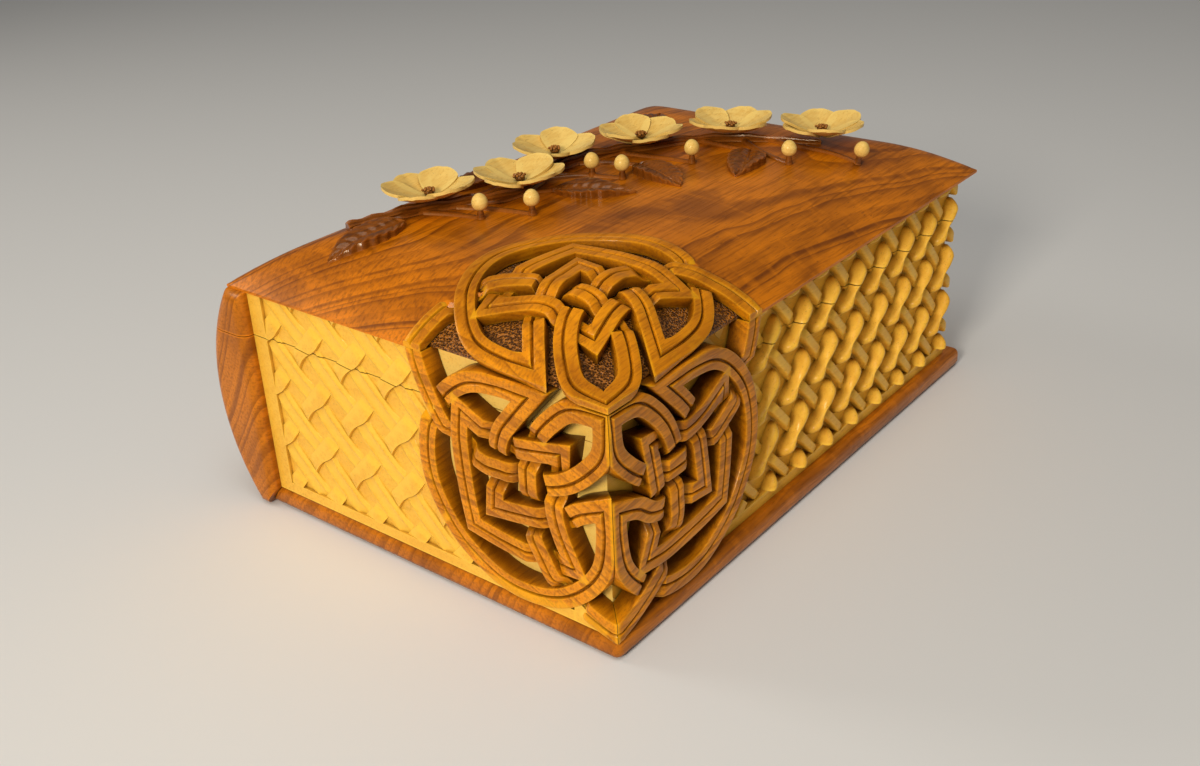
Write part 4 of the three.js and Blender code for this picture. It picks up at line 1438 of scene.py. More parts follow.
@dataclass
class Spine:
    """The rounded spine, sawn in two at the lid's cut.

    Attributes:
        end_bulge: How far its ends are domed.
        end_spread: How much wider than high the rounding of an end is.
        flat_end: How square to the book's length an end face is.
    """

    steps: int = 28
    end_bulge: float = 3.0
    end_spread: float = 1.4
    end_segments: int = 6
    least_inset: float = 0.01
    flat_end: float = 0.9

    def radius(self) -> float:
        """Gives the radius of the spine's back."""
        sagitta = SPINE_MIDDLE_DEPTH - SPINE_TOP_DEPTH
        return (BLOCK_TOP ** 2 / 4 + sagitta ** 2) / (2 * sagitta)

    def depth(self, height: float) -> float:
        """Gives the depth of the spine at one height."""
        offset = height - BLOCK_TOP / 2
        return SPINE_MIDDLE_DEPTH - self.radius() + math.sqrt(self.radius() ** 2 - offset ** 2)

    def whole(self) -> Mesh:
        """Draws the whole bar, with domed ends.

        Returns:
            The bar.
        """
        bm = bmesh.new()
        heights = [BLOCK_TOP * step / self.steps for step in range(self.steps + 1)]
        outline = [(0.0, 0.0), *((-self.depth(height), height) for height in heights), (0.0, BLOCK_TOP)]
        verts = [bm.verts.new((x - PAGES_WIDTH, 0, z)) for x, z in outline]
        face = bmesh.ops.contextual_create(bm, geom=verts)["faces"][0]
        draw_out(bm, face, (0, BOOK_LENGTH, 0))
        self.dome_ends(bm)
        return bm

    def dome_ends(self, bm: Mesh) -> None:
        """Insets and raises both ends in a few steps, so that they are domed.

        Args:
            bm: The mesh.
        """
        bmesh.ops.recalc_face_normals(bm, faces=bm.faces)
        turn = math.pi / 2 / self.end_segments
        for face in [item for item in bm.faces if abs(item.normal.y) > self.flat_end]:
            direction = 1 if face.normal.y > 0 else -1
            risen = 0.0
            for step in range(1, self.end_segments + 1):
                drawn_in = math.cos(turn * (step - 1)) - math.cos(turn * step)
                inset = max(self.end_bulge * self.end_spread * drawn_in, self.least_inset)
                bmesh.ops.inset_region(bm, faces=[face], thickness=inset, use_even_offset=True)
                lift = self.end_bulge * math.sin(turn * step) - risen
                bmesh.ops.translate(bm, vec=(0, direction * lift, 0), verts=face.verts)
                risen += lift

    def build(self, finishes: Finishes) -> None:
        """Builds both halves and dresses them.

        Args:
            finishes: The box's materials.
        """
        slant = Vector((-BASE_THICKNESS, 0, MITRE_RUN)).normalized()
        for upper, name in ((False, "spine_lower"), (True, "spine_upper")):
            bm = self.whole()
            if not upper:
                cut(bm, (-PAGES_WIDTH - PIECE_GAP / 2, 0, BASE_THICKNESS), slant)
            body = saw(bm, upper)
            finish_piece(bm, name + "_bar", body, [finishes.boards], [name])


# Woven walls


@dataclass(frozen=True)
class Weave:
    """The look of one carved basket weave, of slanting blocks and of bars that pass under them.

    A place is a share of half a block's length, counted from its middle. A run holds the places
    where a change starts and is full, and a dip holds its depth and the place where it starts.

    Attributes:
        pitch: The distances between two blocks along the wall and up it.
        anchor: One block's place along the wall and up it.
        block_half: Half a block's width at its ends.
        waist: The share of that width at its middle.
        block_power: How square its section is: 2 is round, more is flatter.
        bar_rise: The height of a bar's middle over the wall's face.
        bar_sink: The depth of its ends, where it passes under two blocks.
        calm: Where the relief starts and is full, as distances from the near corner.
        calm_sink: How far the bars lie under the face where it is calm.
        waist_run: The middle of the waist and how far it reaches.
        taper: Where a block's ends start to narrow.
        least_end: The square of the least share of its width.
        droop: Where its ends start to fall.
        droop_share: How far they fall, as a share of its height over the ground.
    """

    pitch: Point
    anchor: Point
    block_length: float
    block_half: float
    waist: float
    block_rise: float
    block_power: float
    wave: float
    tilt: float
    bar_half: float
    bar_rise: float
    bar_sink: float
    ridge: float
    floor: float
    calm: Point
    calm_sink: float = 0.5
    waist_run: Point = (0.16, 0.5)
    waist_sag: float = 0.25
    taper: float = 0.68
    least_end: float = 0.02
    droop: float = 0.55
    droop_share: float = 0.75
    flat_swing: float = 0.06
    flat_turn: float = 2.5
    plain_depth: float = 0.05
    upper_dip: Point = (1.4, 0.82)
    lower_dip: Point = (1.3, 0.55)
    bar_run: Point = (0.42, 0.8)

    def from_waist(self, a: float) -> float:
        """Gives 0 at the middle of a block's waist and 1 past it, for a place along it."""
        middle, reach = self.waist_run
        return smooth_step(0.0, reach, abs(a - middle))

    def waisted_half(self, a: float) -> float:
        """Gives half the width of a fore-edge block, which has a waist and rounded ends."""
        waist = self.waist + (1 - self.waist) * self.from_waist(a)
        end = max((abs(a) - self.taper) / (1 - self.taper), 0.0)
        return self.block_half * waist * math.sqrt(max(1 - end ** 2, self.least_end))

    def flat_half(self, a: float) -> float:
        """Gives half the width of a tail block, and of a flattened one."""
        return self.block_half * (1.0 - self.flat_swing * math.sin(self.flat_turn * a))

    def straight_half(self, a: float) -> float:
        """Gives half the width of a bar, which is the same all along it."""
        return self.bar_half

    def fore_top(self, rise: float, a: float) -> float:
        """Gives the height of a fore-edge block, whose waist sags and whose ends fall."""
        sag = self.waist_sag * (1 - self.from_waist(a))
        end = max((abs(a) - self.droop) / (1 - self.droop), 0.0)
        return rise * (1 - sag) - (rise + self.floor) * self.droop_share * end ** 2

    def tail_top(self, a: float) -> float:
        """Gives the height of a tail block, whose ends dip under its neighbours."""
        (upper, upper_start), (lower, lower_start) = self.upper_dip, self.lower_dip
        fall = upper * smooth_step(upper_start, 1.0, a)
        return self.block_rise - fall - lower * smooth_step(lower_start, 1.0, -a)

    def plain_top(self, a: float) -> float:
        """Gives the height of a flattened block, which is the same all along it."""
        return -self.plain_depth

    def bar_top(self, rise: float, a: float) -> float:
        """Gives the height of a bar, whose ends sink under two blocks."""
        return rise - (rise + self.bar_sink) * smooth_step(*self.bar_run, abs(a))


@dataclass(frozen=True)
class Pad:
    """One raised pad of the weave, as lines along it.

    Attributes:
        centre: Its middle along the wall and up it.
        slope: How far it climbs for each step along the wall.
        half: Half its width for a place along it from -1 to 1.
        top: The height of its middle line over the face for a place along it.
        power: How square its section is.
        ridge: The height of two fine ridges, whose place and width are shares of its half width.
        wave: How far its lower edge waves, which turns by so many radians to each side.
        tilt: How much lower its upper edge lies.
        lowest: How far under the ground it may reach.
    """

    centre: Point
    slope: float
    length: float
    half: Callable[[float], float]
    top: Callable[[float], float]
    power: float
    ridge: float = 0.0
    wave: float = 0.0
    tilt: float = 0.0
    wave_turn: float = 4.2
    ridge_place: float = 0.62
    ridge_width: float = 0.09
    lowest: float = 0.23

    def spot(self, a: float, b: float) -> Point:
        """Gives the place on the wall of a point of the pad, along it and across it.

        Args:
            a: The place along the pad, from -1 to 1.
            b: The place across it, from -1 to 1.

        Returns:
            The place along the wall and up it.
        """
        lean = math.atan(self.slope)
        s, t = a * self.length / 2, b * self.half(a)
        if b < 0:
            t += self.wave * math.sin(a * self.wave_turn) * -b
        u = self.centre[0] + s * math.cos(lean) - t * math.sin(lean)
        v = self.centre[1] + s * math.sin(lean) + t * math.cos(lean)
        return u, v

    def rise(self, a: float, b: float, floor: float) -> float:
        """Gives the height over the face of a point of the pad.

        Args:
            a: The place along it, from -1 to 1.
            b: The place across it, from -1 to 1.
            floor: The depth of the ground.

        Returns:
            The height.
        """
        round_over = max(1 - abs(b) ** self.power, 0.0) ** (1 / self.power)
        line = self.ridge * math.exp(-((abs(b) - self.ridge_place) / self.ridge_width) ** 2)
        height = -floor + (self.top(a) + floor) * round_over + line - self.tilt * (1 + b) / 2
        return max(height, -floor - self.lowest)


@dataclass
class WovenWall:
    """A wall of the page block with its weave, cut in two at the lid's cut.

    Attributes:
        run: Where the wall starts and ends along its face.
        field_run: Where the weave does.
        knots: The knots whose rooms are cut out of it.
        rows: The weave's rows, counted from the anchor.
        margin: How far outside the wall a row's middle may lie.
        plain_share: The share of full relief under which a fore-edge block is left flat.
    """

    side: Side
    weave: Weave
    run: Point
    field_run: Point
    knots: tuple[Knot, ...]
    foot: float = 3.6
    lap: float = 0.2
    skirt: float = 0.4
    rows: tuple[int, int] = (-5, 2)
    margin: float = 12.0
    plain_share: float = 0.05
    plain_length: float = 0.86
    plain_power: float = 8.0
    bar_power: float = 5.0
    along: int = 16
    across: int = 10

    def frame(self) -> Matrix:
        """Gives the wall's frame: along it, up, and inward from its face.

        Returns:
            The frame.
        """
        if self.side is Side.TAIL:
            axes, origin = ((-1, 0, 0), (0, 0, 1), (0, 1, 0)), (0, TAIL_FACE, 0)
        else:
            axes, origin = ((0, -1, 0), (0, 0, 1), (-1, 0, 0)), (FORE_FACE, 0, 0)
        matrix = Matrix(axes).transposed().to_4x4()
        matrix.translation = origin
        return matrix

    def fullness(self, u: float) -> float:
        """Gives the share of full relief at a place along the wall: it is calm beside the knot."""
        return smooth_step(*self.weave.calm, u if self.side is Side.TAIL else -u)

    def pads(self) -> list[Pad]:
        """Lays out the blocks and the bars of the weave over the wall's field.

        Returns:
            The pads.
        """
        (step_u, step_v), (anchor_u, anchor_v) = self.weave.pitch, self.weave.anchor
        low, high = self.field_run
        first = math.floor((low - anchor_u) / step_u) - 1
        last = math.ceil((high - anchor_u) / step_u) + 1
        found = []
        for column in range(first, last + 1):
            for row in range(self.rows[0], self.rows[1] + 1):
                u, v = anchor_u + column * step_u, anchor_v + row * step_v
                if not BASE_THICKNESS - self.margin < v < BLOCK_TOP + self.margin:
                    continue
                found.append(self.block_pad((u, v)))
                found.append(self.bar_pad((u + step_u / 2, v + step_v / 2)))
        return found

    def block_pad(self, centre: Point) -> Pad:
        """Gives one block of the weave, full or calmed beside the knot.

        Args:
            centre: The place of its middle.

        Returns:
            The block.
        """
        look, full = self.weave, self.fullness(centre[0])
        slope = -look.pitch[1] / look.pitch[0]
        length, power, wave = look.block_length, look.block_power, look.wave
        if self.side is Side.TAIL:
            half, top = look.flat_half, look.tail_top
            return Pad(centre, slope, length, half, top, power, wave=wave, tilt=look.tilt)
        if full < self.plain_share:
            length *= self.plain_length
            return Pad(centre, slope, length, look.flat_half, look.plain_top, self.plain_power)
        top = partial(look.fore_top, look.block_rise * full)
        return Pad(centre, slope, length, look.waisted_half, top, power, wave=wave)

    def bar_pad(self, centre: Point) -> Pad:
        """Gives one bar of the weave, whose ends pass under two blocks.

        Args:
            centre: The place of its middle.

        Returns:
            The bar.
        """
        look, full = self.weave, self.fullness(centre[0])
        slope, length = look.pitch[1] / look.pitch[0], math.hypot(*look.pitch)
        rise = look.bar_rise * full
        if self.side is Side.FORE:
            rise -= look.calm_sink * (1 - full)
        top = partial(look.bar_top, rise)
        return Pad(centre, slope, length, look.straight_half, top, self.bar_power, look.ridge)

    def raise_pad(self, bm: Mesh, pad: Pad) -> None:
        """Adds one pad, as a bent sheet with walls down into the ground.

        Args:
            bm: The mesh.
            pad: The pad.
        """
        made = bmesh.ops.create_grid(bm, x_segments=self.along, y_segments=self.across, size=1.0)["verts"]
        for vert in made:
            a, b = vert.co.x, math.sin(vert.co.y * math.pi / 2)
            u, v = pad.spot(a, b)
            vert.co = Vector((u, v, -pad.rise(a, b, self.weave.floor)))
        rim = [edge for edge in edges_of(made) if edge.is_boundary]
        close_below(bm, rim, lambda place: self.weave.floor + self.skirt)

    def in_rooms(self, pad: Pad) -> tuple[bool, bool]:
        """Tells whether any and whether all of a pad stands in the knots' rooms.

        Args:
            pad: The pad.

        Returns:
            Both answers.
        """
        matrix = self.frame()
        hits = []
        for a in (-1.0, -0.5, 0.0, 0.5, 1.0):
            for b in (-1.0, 0.0, 1.0):
                place = matrix @ Vector((*pad.spot(a, b), 0.0))
                hits.append(any(knot.covers(place) for knot in self.knots))
        return any(hits), all(hits)

    def trim(self, bm: Mesh) -> None:
        """Cuts the weave to its field.

        Args:
            bm: The mesh.
        """
        low, high = self.field_run
        cut(bm, (low, 0, 0), (1, 0, 0))
        cut(bm, (high, 0, 0), (-1, 0, 0))
        cut(bm, (0, BASE_THICKNESS + self.foot, 0), (0, 1, 0))
        cut(bm, (0, BLOCK_TOP, 0), (0, -1, 0))

    def add_boards(self, bm: Mesh) -> None:
        """Adds the wall behind the weave and the plain strips beside it.

        Args:
            bm: The mesh.
        """
        start, end = self.run
        high, floor = self.field_run[1], self.weave.floor
        block(bm, (start, BASE_THICKNESS, floor), (end, BLOCK_TOP, WALL))
        block(bm, (start, BASE_THICKNESS, 0.0), (end, BASE_THICKNESS + self.foot, floor + self.lap))
        if high < end:
            block(bm, (high, BASE_THICKNESS, 0.0), (end, BLOCK_TOP, floor + self.lap))

    def build(self, finishes: Finishes) -> None:
        """Builds the wall, cuts the knots' rooms out of it, and dresses both halves.

        Args:
            finishes: The box's materials.
        """
        clear, carved = bmesh.new(), bmesh.new()
        for pad in self.pads():
            some, every = self.in_rooms(pad)
            if not every:
                self.raise_pad(carved if some else clear, pad)
        self.trim(clear)
        self.trim(carved)
        self.add_boards(carved)
        for part in (clear, carved):
            bmesh.ops.transform(part, matrix=self.frame(), verts=part.verts)
            bmesh.ops.recalc_face_normals(part, faces=part.faces)
        for knot in self.knots:
            carved = boolean_difference(carved, knot.room_solid())
        for face in carved.faces:
            # the room floors take the brighter copy of the pale wood, as painted light
            face.material_index = int(any(knot.is_ground(face.calc_center_median()) for knot in self.knots))
        spare = bpy.data.meshes.new("weave")
        clear.to_mesh(spare)
        clear.free()
        carved.from_mesh(spare)
        bpy.data.meshes.remove(spare)
        for upper, node in ((False, self.side.value + "_wall"), (True, f"lid_{self.side.value}_wall")):
            half = carved.copy()
            body = saw(half, upper)
            finish_piece(half, node + "_weave", body, [finishes.pale, finishes.ground], [node])
        carved.free()


def boolean_difference(solid: Mesh, cutter: Mesh) -> Mesh:
    """Takes one solid out of another with the exact solver.

    Args:
        solid: The solid that is cut, which is freed.
        cutter: The solid that is taken out, which is freed.

    Returns:
        A new bmesh of the result.
    """
    objects = []
    for bm in (solid, cutter):
        mesh = bpy.data.meshes.new("carving")
        bm.to_mesh(mesh)
        bm.free()
        objects.append(new_object("carving", mesh))
    target, tool = objects
    modifier = target.modifiers.new("cut", "BOOLEAN")
    modifier.operation = "DIFFERENCE"
    modifier.solver = "EXACT"
    modifier.use_self = True
    modifier.object = tool
    bpy.context.view_layer.update()
    result = bmesh.new()
    result.from_object(target, bpy.context.evaluated_depsgraph_get())
    for item in objects:
        mesh = item.data
        bpy.data.objects.remove(item)
        bpy.data.meshes.remove(mesh)
    return result


@dataclass
class HeadWall:
    """The plain wall at the book's head, in two halves."""

    rounding: float = 0.3

    def build(self, finishes: Finishes) -> None:
        """Builds both halves and dresses them.

        Args:
            finishes: The box's materials.
        """
        start, end = -PAGES_WIDTH, FORE_FACE - WALL
        halves = (
            ("head_wall", Body.BODY, BASE_THICKNESS, SEAM_HEIGHT - SEAM_GAP / 2),
            ("lid_head_wall", Body.LID, SEAM_HEIGHT + SEAM_GAP / 2, BLOCK_TOP),
        )
        for node, body, low, high in halves:
            bm = bmesh.new()
            block(bm, (start, HEAD_FACE - WALL, low), (end, HEAD_FACE, high), self.rounding)
            finish_piece(bm, node + "_board", body, [finishes.pale], [node])


# The spray on the cover


def seat(place: Point, height: float, spin: float = 0.0) -> Matrix:
    """Gives the frame of a piece that stands on the dome.

    Args:
        place: The place in plan.
        height: The height over the dome.
        spin: The turn about the dome's normal, in radians.

    Returns:
        The frame.
    """
    x, y = place
    out = DOME.normal(x, y)
    turn = out.to_track_quat("Z", "Y").to_matrix().to_4x4() @ Matrix.Rotation(spin, 4, "Z")
    return Matrix.Translation(Vector((x, y, DOME.top(x, y))) + out * height) @ turn


@dataclass(frozen=True)
class Leaf:
    """One carved leaf: a folded blade with a midrib, side veins and a notched, curled rim.

    Attributes:
        turn: The direction that it points to, in degrees.
        sway: How far it bends aside.
        curl_turn: How fast its rim's curl changes along it.
    """

    number: int
    place: Point
    turn: float
    length: float = 27.0
    half: float = 5.9
    height: float = 2.5
    least_half: float = 0.15
    least_height: float = 0.35
    side_veins: float = 8.0
    sway: float = 1.3
    curl_turn: float = 7.0
    sink: float = 0.1
    cells: tuple[int, int] = (72, 24)

    def half_width(self, share: float) -> float:
        """Gives half its width at a share of its length."""
        outline = math.sin(math.pi * share ** 0.78) ** 0.85
        teeth = 1 + 0.05 * math.sin(share * self.side_veins * 2 * math.pi) * smooth_step(0.1, 0.3, share)
        return self.half * outline * teeth + self.least_half

    def rise(self, share: float, b: float) -> float:
        """Gives its height over the dome.

        Args:
            share: The place along it, from 0 to 1.
            b: The place across it, from -1 to 1.

        Returns:
            The height.
        """
        vein = abs(math.sin((share * self.side_veins - abs(b) * 1.5) * math.pi)) ** 0.5
        rib = math.exp(-(b / 0.07) ** 2)
        valley = 1 - 0.55 * math.exp(-(b / 0.3) ** 2)
        curl = 0.55 + 0.5 * math.sin(abs(b) * math.pi * 0.62)
        curl += 0.18 * math.sin(share * self.curl_turn + self.number + (2 if b > 0 else 0))
        body = self.height * (0.3 + 0.7 * math.sin(math.pi * min(share * 1.1, 1.0)) ** 0.7)
        veins = 0.5 * (vein - 0.6) * min(self.half_width(share) / 2, 1) * smooth_step(0.04, 0.2, abs(b))
        return max(body * valley * curl + veins + 0.7 * rib, self.least_height)

    def build(self, finishes: Finishes) -> None:
        """Builds the leaf from a grid and dresses it.

        Args:
            finishes: The box's materials.
        """
        bm = bmesh.new()
        nx, ny = self.cells
        made = bmesh.ops.create_grid(bm, x_segments=nx, y_segments=ny, size=1.0)["verts"]
        angle = math.radians(self.turn)
        cosine, sine = math.cos(angle), math.sin(angle)
        for vert in made:
            share, b = (vert.co.x + 1) / 2, vert.co.y
            sway = self.sway * math.sin(share * math.pi * 1.3 + self.number)
            s, t = share * self.length, b * self.half_width(share) + sway * share
            x = self.place[0] + s * cosine - t * sine
            y = self.place[1] + s * sine + t * cosine
            vert.co = Vector((x, y, DOME.top(x, y) + self.rise(share, b)))
        rim = [edge for edge in bm.edges if edge.is_boundary]
        close_below(bm, rim, lambda place: DOME.top(place.x, place.y) - self.sink)
        name = f"leaf_{self.number}"
        finish_piece(bm, name + "_blade", Body.LID, [finishes.relief], [name], sharp=55)


@dataclass(frozen=True)
class Blossom:
    """One blossom of cupped, overlapping petals and its dark centre.

    Attributes:
        cup: How high the petals' tips rise.
        turn: How much more each blossom is turned, in radians.
        seed_turn: The angle from a seed to the next, in radians.
    """

    number: int
    place: Point
    radius: float = 14.5
    height: float = 3.4
    cup: float = 4.6
    petals: int = 6
    petal_half: float = 6.5
    thickness: float = 1.0
    turn: float = 0.37
    centre_radius: float = 1.7
    seeds: int = 13
    seed_radius: float = 0.5
    seed_turn: float = 2.4

    def petal_point(self, a: float, b: float, petal: int) -> Vector:
        """Gives a point of a petal's middle surface.

        Args:
            a: The place along it, from -1 to 1.
            b: The place across it, from -1 to 1.
            petal: The petal's number.

        Returns:
            The point in the blossom's frame, before the petal is turned to its place.
        """
        round_a, round_b = a * math.sqrt(1 - b * b / 2), b * math.sqrt(1 - a * a / 2)
        reach = self.radius / 2
        s = reach * 1.02 + reach * 0.96 * round_a
        share = s / self.radius
        t = self.petal_half * round_b * (0.5 + 0.55 * smooth_step(0.0, 0.75, share))
        side = t / self.petal_half
        dish = 1.3 * side * side * math.sin(math.pi * min(share, 0.92))
        dish -= 0.25 * math.exp(-(side / 0.16) ** 2) * share
        lean = 0.5 * side * math.sin(petal * 1.7 + self.number * 2.1)
        lift = 0.75 if petal % 2 else 0.0
        height = self.cup * share ** 1.7 + dish + lean + lift * (0.4 + share * 0.6) + self.thickness / 2
        return Vector((s, t, height))

    def build_petals(self, finishes: Finishes) -> None:
        """Builds the petals and dresses them.

        Args:
            finishes: The box's materials.
        """
        bm = bmesh.new()
        for petal in range(self.petals):
            made = bmesh.ops.create_grid(bm, x_segments=18, y_segments=16, size=1.0)["verts"]
            for vert in made:
                vert.co = self.petal_point(vert.co.x, vert.co.y, petal)
            sheet = [*made, *edges_of(made), *faces_of(made)]
            grown = bmesh.ops.solidify(bm, geom=sheet, thickness=self.thickness)["geom"]
            verts = {vert for face in of_kind(grown, Face) for vert in face.verts}.union(made)
            angle = 2 * math.pi * petal / self.petals + 0.07 * math.sin(petal * 2.3 + self.number)
            bmesh.ops.rotate(bm, cent=(0, 0, 0), matrix=Matrix.Rotation(angle, 3, "Z"), verts=list(verts))
        frame = seat(self.place, self.height, self.number * self.turn)
        bmesh.ops.transform(bm, matrix=frame, verts=bm.verts)
        name = f"blossom_{self.number}"
        finish_piece(bm, name + "_petals", Body.LID, [finishes.blossom], [name], sharp=50)

    def build_centre(self, finishes: Finishes) -> None:
        """Builds the centre with its seeds and dresses it.

        Args:
            finishes: The box's materials.
        """
        bm = bmesh.new()
        ball = bmesh.ops.create_icosphere(bm, subdivisions=3, radius=self.centre_radius)["verts"]
        bmesh.ops.scale(bm, vec=(1, 1, 0.7), verts=ball)
        for seed in range(self.seeds):
            angle = seed * self.seed_turn
            ring = 2.1 * math.sqrt((seed + 0.3) / self.seeds)
            spot = (ring * math.cos(angle), ring * math.sin(angle), 1.25 - 0.28 * ring)
            matrix = Matrix.Translation(spot)
            bmesh.ops.create_icosphere(bm, subdivisions=2, radius=self.seed_radius, matrix=matrix)
        frame = seat(self.place, self.height + self.thickness + 0.9, self.number * self.turn)
        bmesh.ops.transform(bm, matrix=frame, verts=bm.verts)
        name = f"blossom_{self.number}"
        node = name + "_centre"
        finish_piece(bm, name + "_seeds", Body.LID, [finishes.seed], [node], sharp=70)


@dataclass(frozen=True)
class Berry:
    """One berry on its short wooden stalk.

    Attributes:
        taper: How much its width changes from bottom to top.
        middle: How far its middle stands over the stalk's top, as a share of its radius.
        stalk_end: How far under the stalk's top its wood ends.
    """

    number: int
    place: Point
    radius: float = 2.5
    taper: float = 0.10
    stretch: float = 1.08
    stalk: float = 3.4
    stalk_radii: Point = (1.35, 0.7)
    middle: float = 0.75
    stalk_end: float = 0.6
    foot: float = 0.1

    def build(self, finishes: Finishes) -> None:
        """Builds the berry and dresses it.

        Args:
            finishes: The box's materials.
        """
        bm = bmesh.new()
        ball = bmesh.ops.create_uvsphere(bm, u_segments=28, v_segments=20, radius=self.radius)["verts"]
        for vert in ball:
            width = 1 - self.taper * vert.co.z / self.radius
            vert.co = Vector((vert.co.x * width, vert.co.y * width, vert.co.z * self.stretch))
        bmesh.ops.translate(bm, vec=(0, 0, self.stalk + self.radius * self.middle), verts=ball)
        below, above = self.stalk_radii
        bmesh.ops.create_cone(
            bm, cap_ends=True, segments=14, radius1=below, radius2=above, depth=self.stalk,
            matrix=Matrix.Translation((0, 0, self.stalk / 2)),
        )
        for face in bm.faces:
            face.material_index = 1 if face.calc_center_median().z < self.stalk - self.stalk_end else 0
        bmesh.ops.transform(bm, matrix=seat(self.place, self.foot), verts=bm.verts)
        name = f"berry_{self.number}"
        woods = [finishes.blossom, finishes.relief]
        finish_piece(bm, name + "_bead", Body.LID, woods, [name], sharp=60)


@dataclass
class Spray:
    """A generic spray: a twig, leaves, blossoms with dark centres, and berries.

    Attributes:
        root_step: How many steps before the nearest place a side twig leaves the twig.
        leaves: Each leaf's place and direction in degrees.
    """

    vine_points: tuple[Point, ...] = (
        (-119, 28), (-110, 50), (-95, 76), (-101, 102), (-92, 132), (-72, 158), (-40, 172),
    )
    vine_half: float = 2.8
    vine_rise: float = 3.2
    vine_steps: int = 14
    vine_corners: int = 22
    twig_radius: float = 1.0
    twig_corners: int = 10
    twig_steps: int = 8
    root_step: int = 8
    leaves: tuple[tuple[Point, float], ...] = (
        ((-107, 40), -100), ((-114, 70), 100), ((-88, 86), 25), ((-111, 122), 150), ((-80, 121), -25),
        ((-96, 150), 120), ((-56, 152), -65),
    )
    blossoms: tuple[Point, ...] = ((-110, 54), (-95, 79), (-104, 107), (-89, 135), (-69, 160), (-40, 172))
    berries: tuple[Point, ...] = (
        (-90, 55), (-79, 66), (-86, 104), (-76, 107), (-66, 132), (-38, 147), (-22, 164),
    )

    def stations(self, line: Sequence[Point], size: Callable[[int], Point]) -> list[Matrix]:
        """Gives the frames of a bar's outline along a line on the dome.

        Args:
            line: The line in plan.
            size: Half the bar's width and its height at each point's number.

        Returns:
            The frames, scaled so that the outline is drawn for a bar of unit size.
        """
        found = []
        last = len(line) - 1
        for index, point in enumerate(line):
            ahead, back = line[min(index + 1, last)], line[max(index - 1, 0)]
            climb = DOME.top(*ahead) - DOME.top(*back)
            along = Vector((ahead[0] - back[0], ahead[1] - back[1], climb)).normalized()
            out = DOME.normal(*point)
            across = out.cross(along).normalized()
            half, rise = size(index)
            matrix = Matrix((across * half, out * rise, across.cross(out))).transposed().to_4x4()
            matrix.translation = Vector((*point, DOME.top(*point)))
            found.append(matrix)
        return found

    def vine_size(self, last: int, index: int) -> Point:
        """Gives the twig's half width and height at a step: it thins to its tip and is knobbly.

        Args:
            last: The number of its last step.
            index: The number of the step.

        Returns:
            The half width and the height.
        """
        size = 0.3 + 0.7 * math.sin(math.pi * min(index / last * 0.8 + 0.2, 1.0)) ** 0.6
        size *= 1 + 0.10 * math.sin(index * 1.3) + 0.07 * math.sin(index * 0.53 + 1)
        return self.vine_half * size, self.vine_rise * size

    def twig_size(self, last: int, index: int) -> Point:
        """Gives a side twig's half width and height at a step, in the same way."""
        size = self.twig_radius * (1.25 - 0.45 * index / last)
        return size, size * 1.1

    def build_vine(self, finishes: Finishes) -> None:
        """Builds the twig: a flattened round bar with a ridged bark.

        Args:
            finishes: The box's materials.
        """
        bm = bmesh.new()
        line = spline(self.vine_points, self.vine_steps)
        profile = []
        for step in range(self.vine_corners):
            angle = -0.3 + (math.pi + 0.6) * step / (self.vine_corners - 1)
            ridge = 1 + 0.09 * math.sin(step * 2.1)
            profile.append((math.cos(angle) * ridge, max(math.sin(angle) * ridge, -0.1)))
        sweep(bm, profile, self.stations(line, partial(self.vine_size, len(line) - 1)), False)
        finish_piece(bm, "carved_vine", Body.LID, [finishes.relief], ["vine"], sharp=50)

    def twig_path(self, line: Sequence[Point], foot: Point) -> list[Point]:
        """Gives the line of a side twig from the twig to a leaf's or a berry's foot.

        Args:
            line: The twig's line.
            foot: The foot.

        Returns:
            The side twig's line.
        """
        index = min(range(len(line)), key=lambda number: math.dist(line[number], foot))
        root = line[max(index - self.root_step, 0)]
        middle = (root[0] + foot[0] * 1.2) / 2.2
        bend = ((root[0] + foot[0]) / 2, root[1] * 0.35 + foot[1] * 0.65)
        return spline([root, ((middle + bend[0]) / 2, bend[1]), foot], self.twig_steps)

    def build_twigs(self, finishes: Finishes) -> None:
        """Builds the fine side twigs that carry the leaves and the berries.

        Args:
            finishes: The box's materials.
        """
        bm = bmesh.new()
        angles = [2 * math.pi * k / self.twig_corners for k in range(self.twig_corners)]
        profile = [(math.cos(angle), max(math.sin(angle), -0.2)) for angle in angles]
        line = spline(self.vine_points, self.vine_steps)
        for foot in (*(place for place, _ in self.leaves), *self.berries):
            path = self.twig_path(line, foot)
            sweep(bm, profile, self.stations(path, partial(self.twig_size, len(path) - 1)), False)
        finish_piece(bm, "side_twigs", Body.LID, [finishes.relief], sharp=50)

    def build(self, finishes: Finishes) -> None:
        """Builds every piece of the spray.

        Args:
            finishes: The box's materials.
        """
        self.build_vine(finishes)
        self.build_twigs(finishes)
        for number, (place, turn) in enumerate(self.leaves, 1):
            Leaf(number, place, turn).build(finishes)
        for number, place in enumerate(self.blossoms, 1):
            blossom = Blossom(number, place)
            blossom.build_petals(finishes)
            blossom.build_centre(finishes)
        for number, place in enumerate(self.berries, 1):
            Berry(number, place).build(finishes)


# The room around it


@dataclass(frozen=True)
class Lamp:
    """A soft square lamp that points at the box. Its lengths are in metres and its power in watts.

    Attributes:
        spread: The angle of its light in degrees, which keeps the floor behind the box even.
    """

    name: str
    place: Triple
    size: float
    power: float
    colour: Triple
    aim: Triple = (0, 0, 0.04)
    spread: float = 110.0

    def build(self) -> None:
        """Hangs the lamp."""
        light = bpy.data.lights.new(self.name, "AREA")
        light.size = self.size
        light.energy = self.power
        light.color = self.colour
        light.spread = math.radians(self.spread)
        lamp = new_object(self.name, light)
        lamp.location = self.place
        lamp.rotation_euler = (Vector(self.aim) - Vector(self.place)).to_track_quat("-Z", "Y").to_euler()


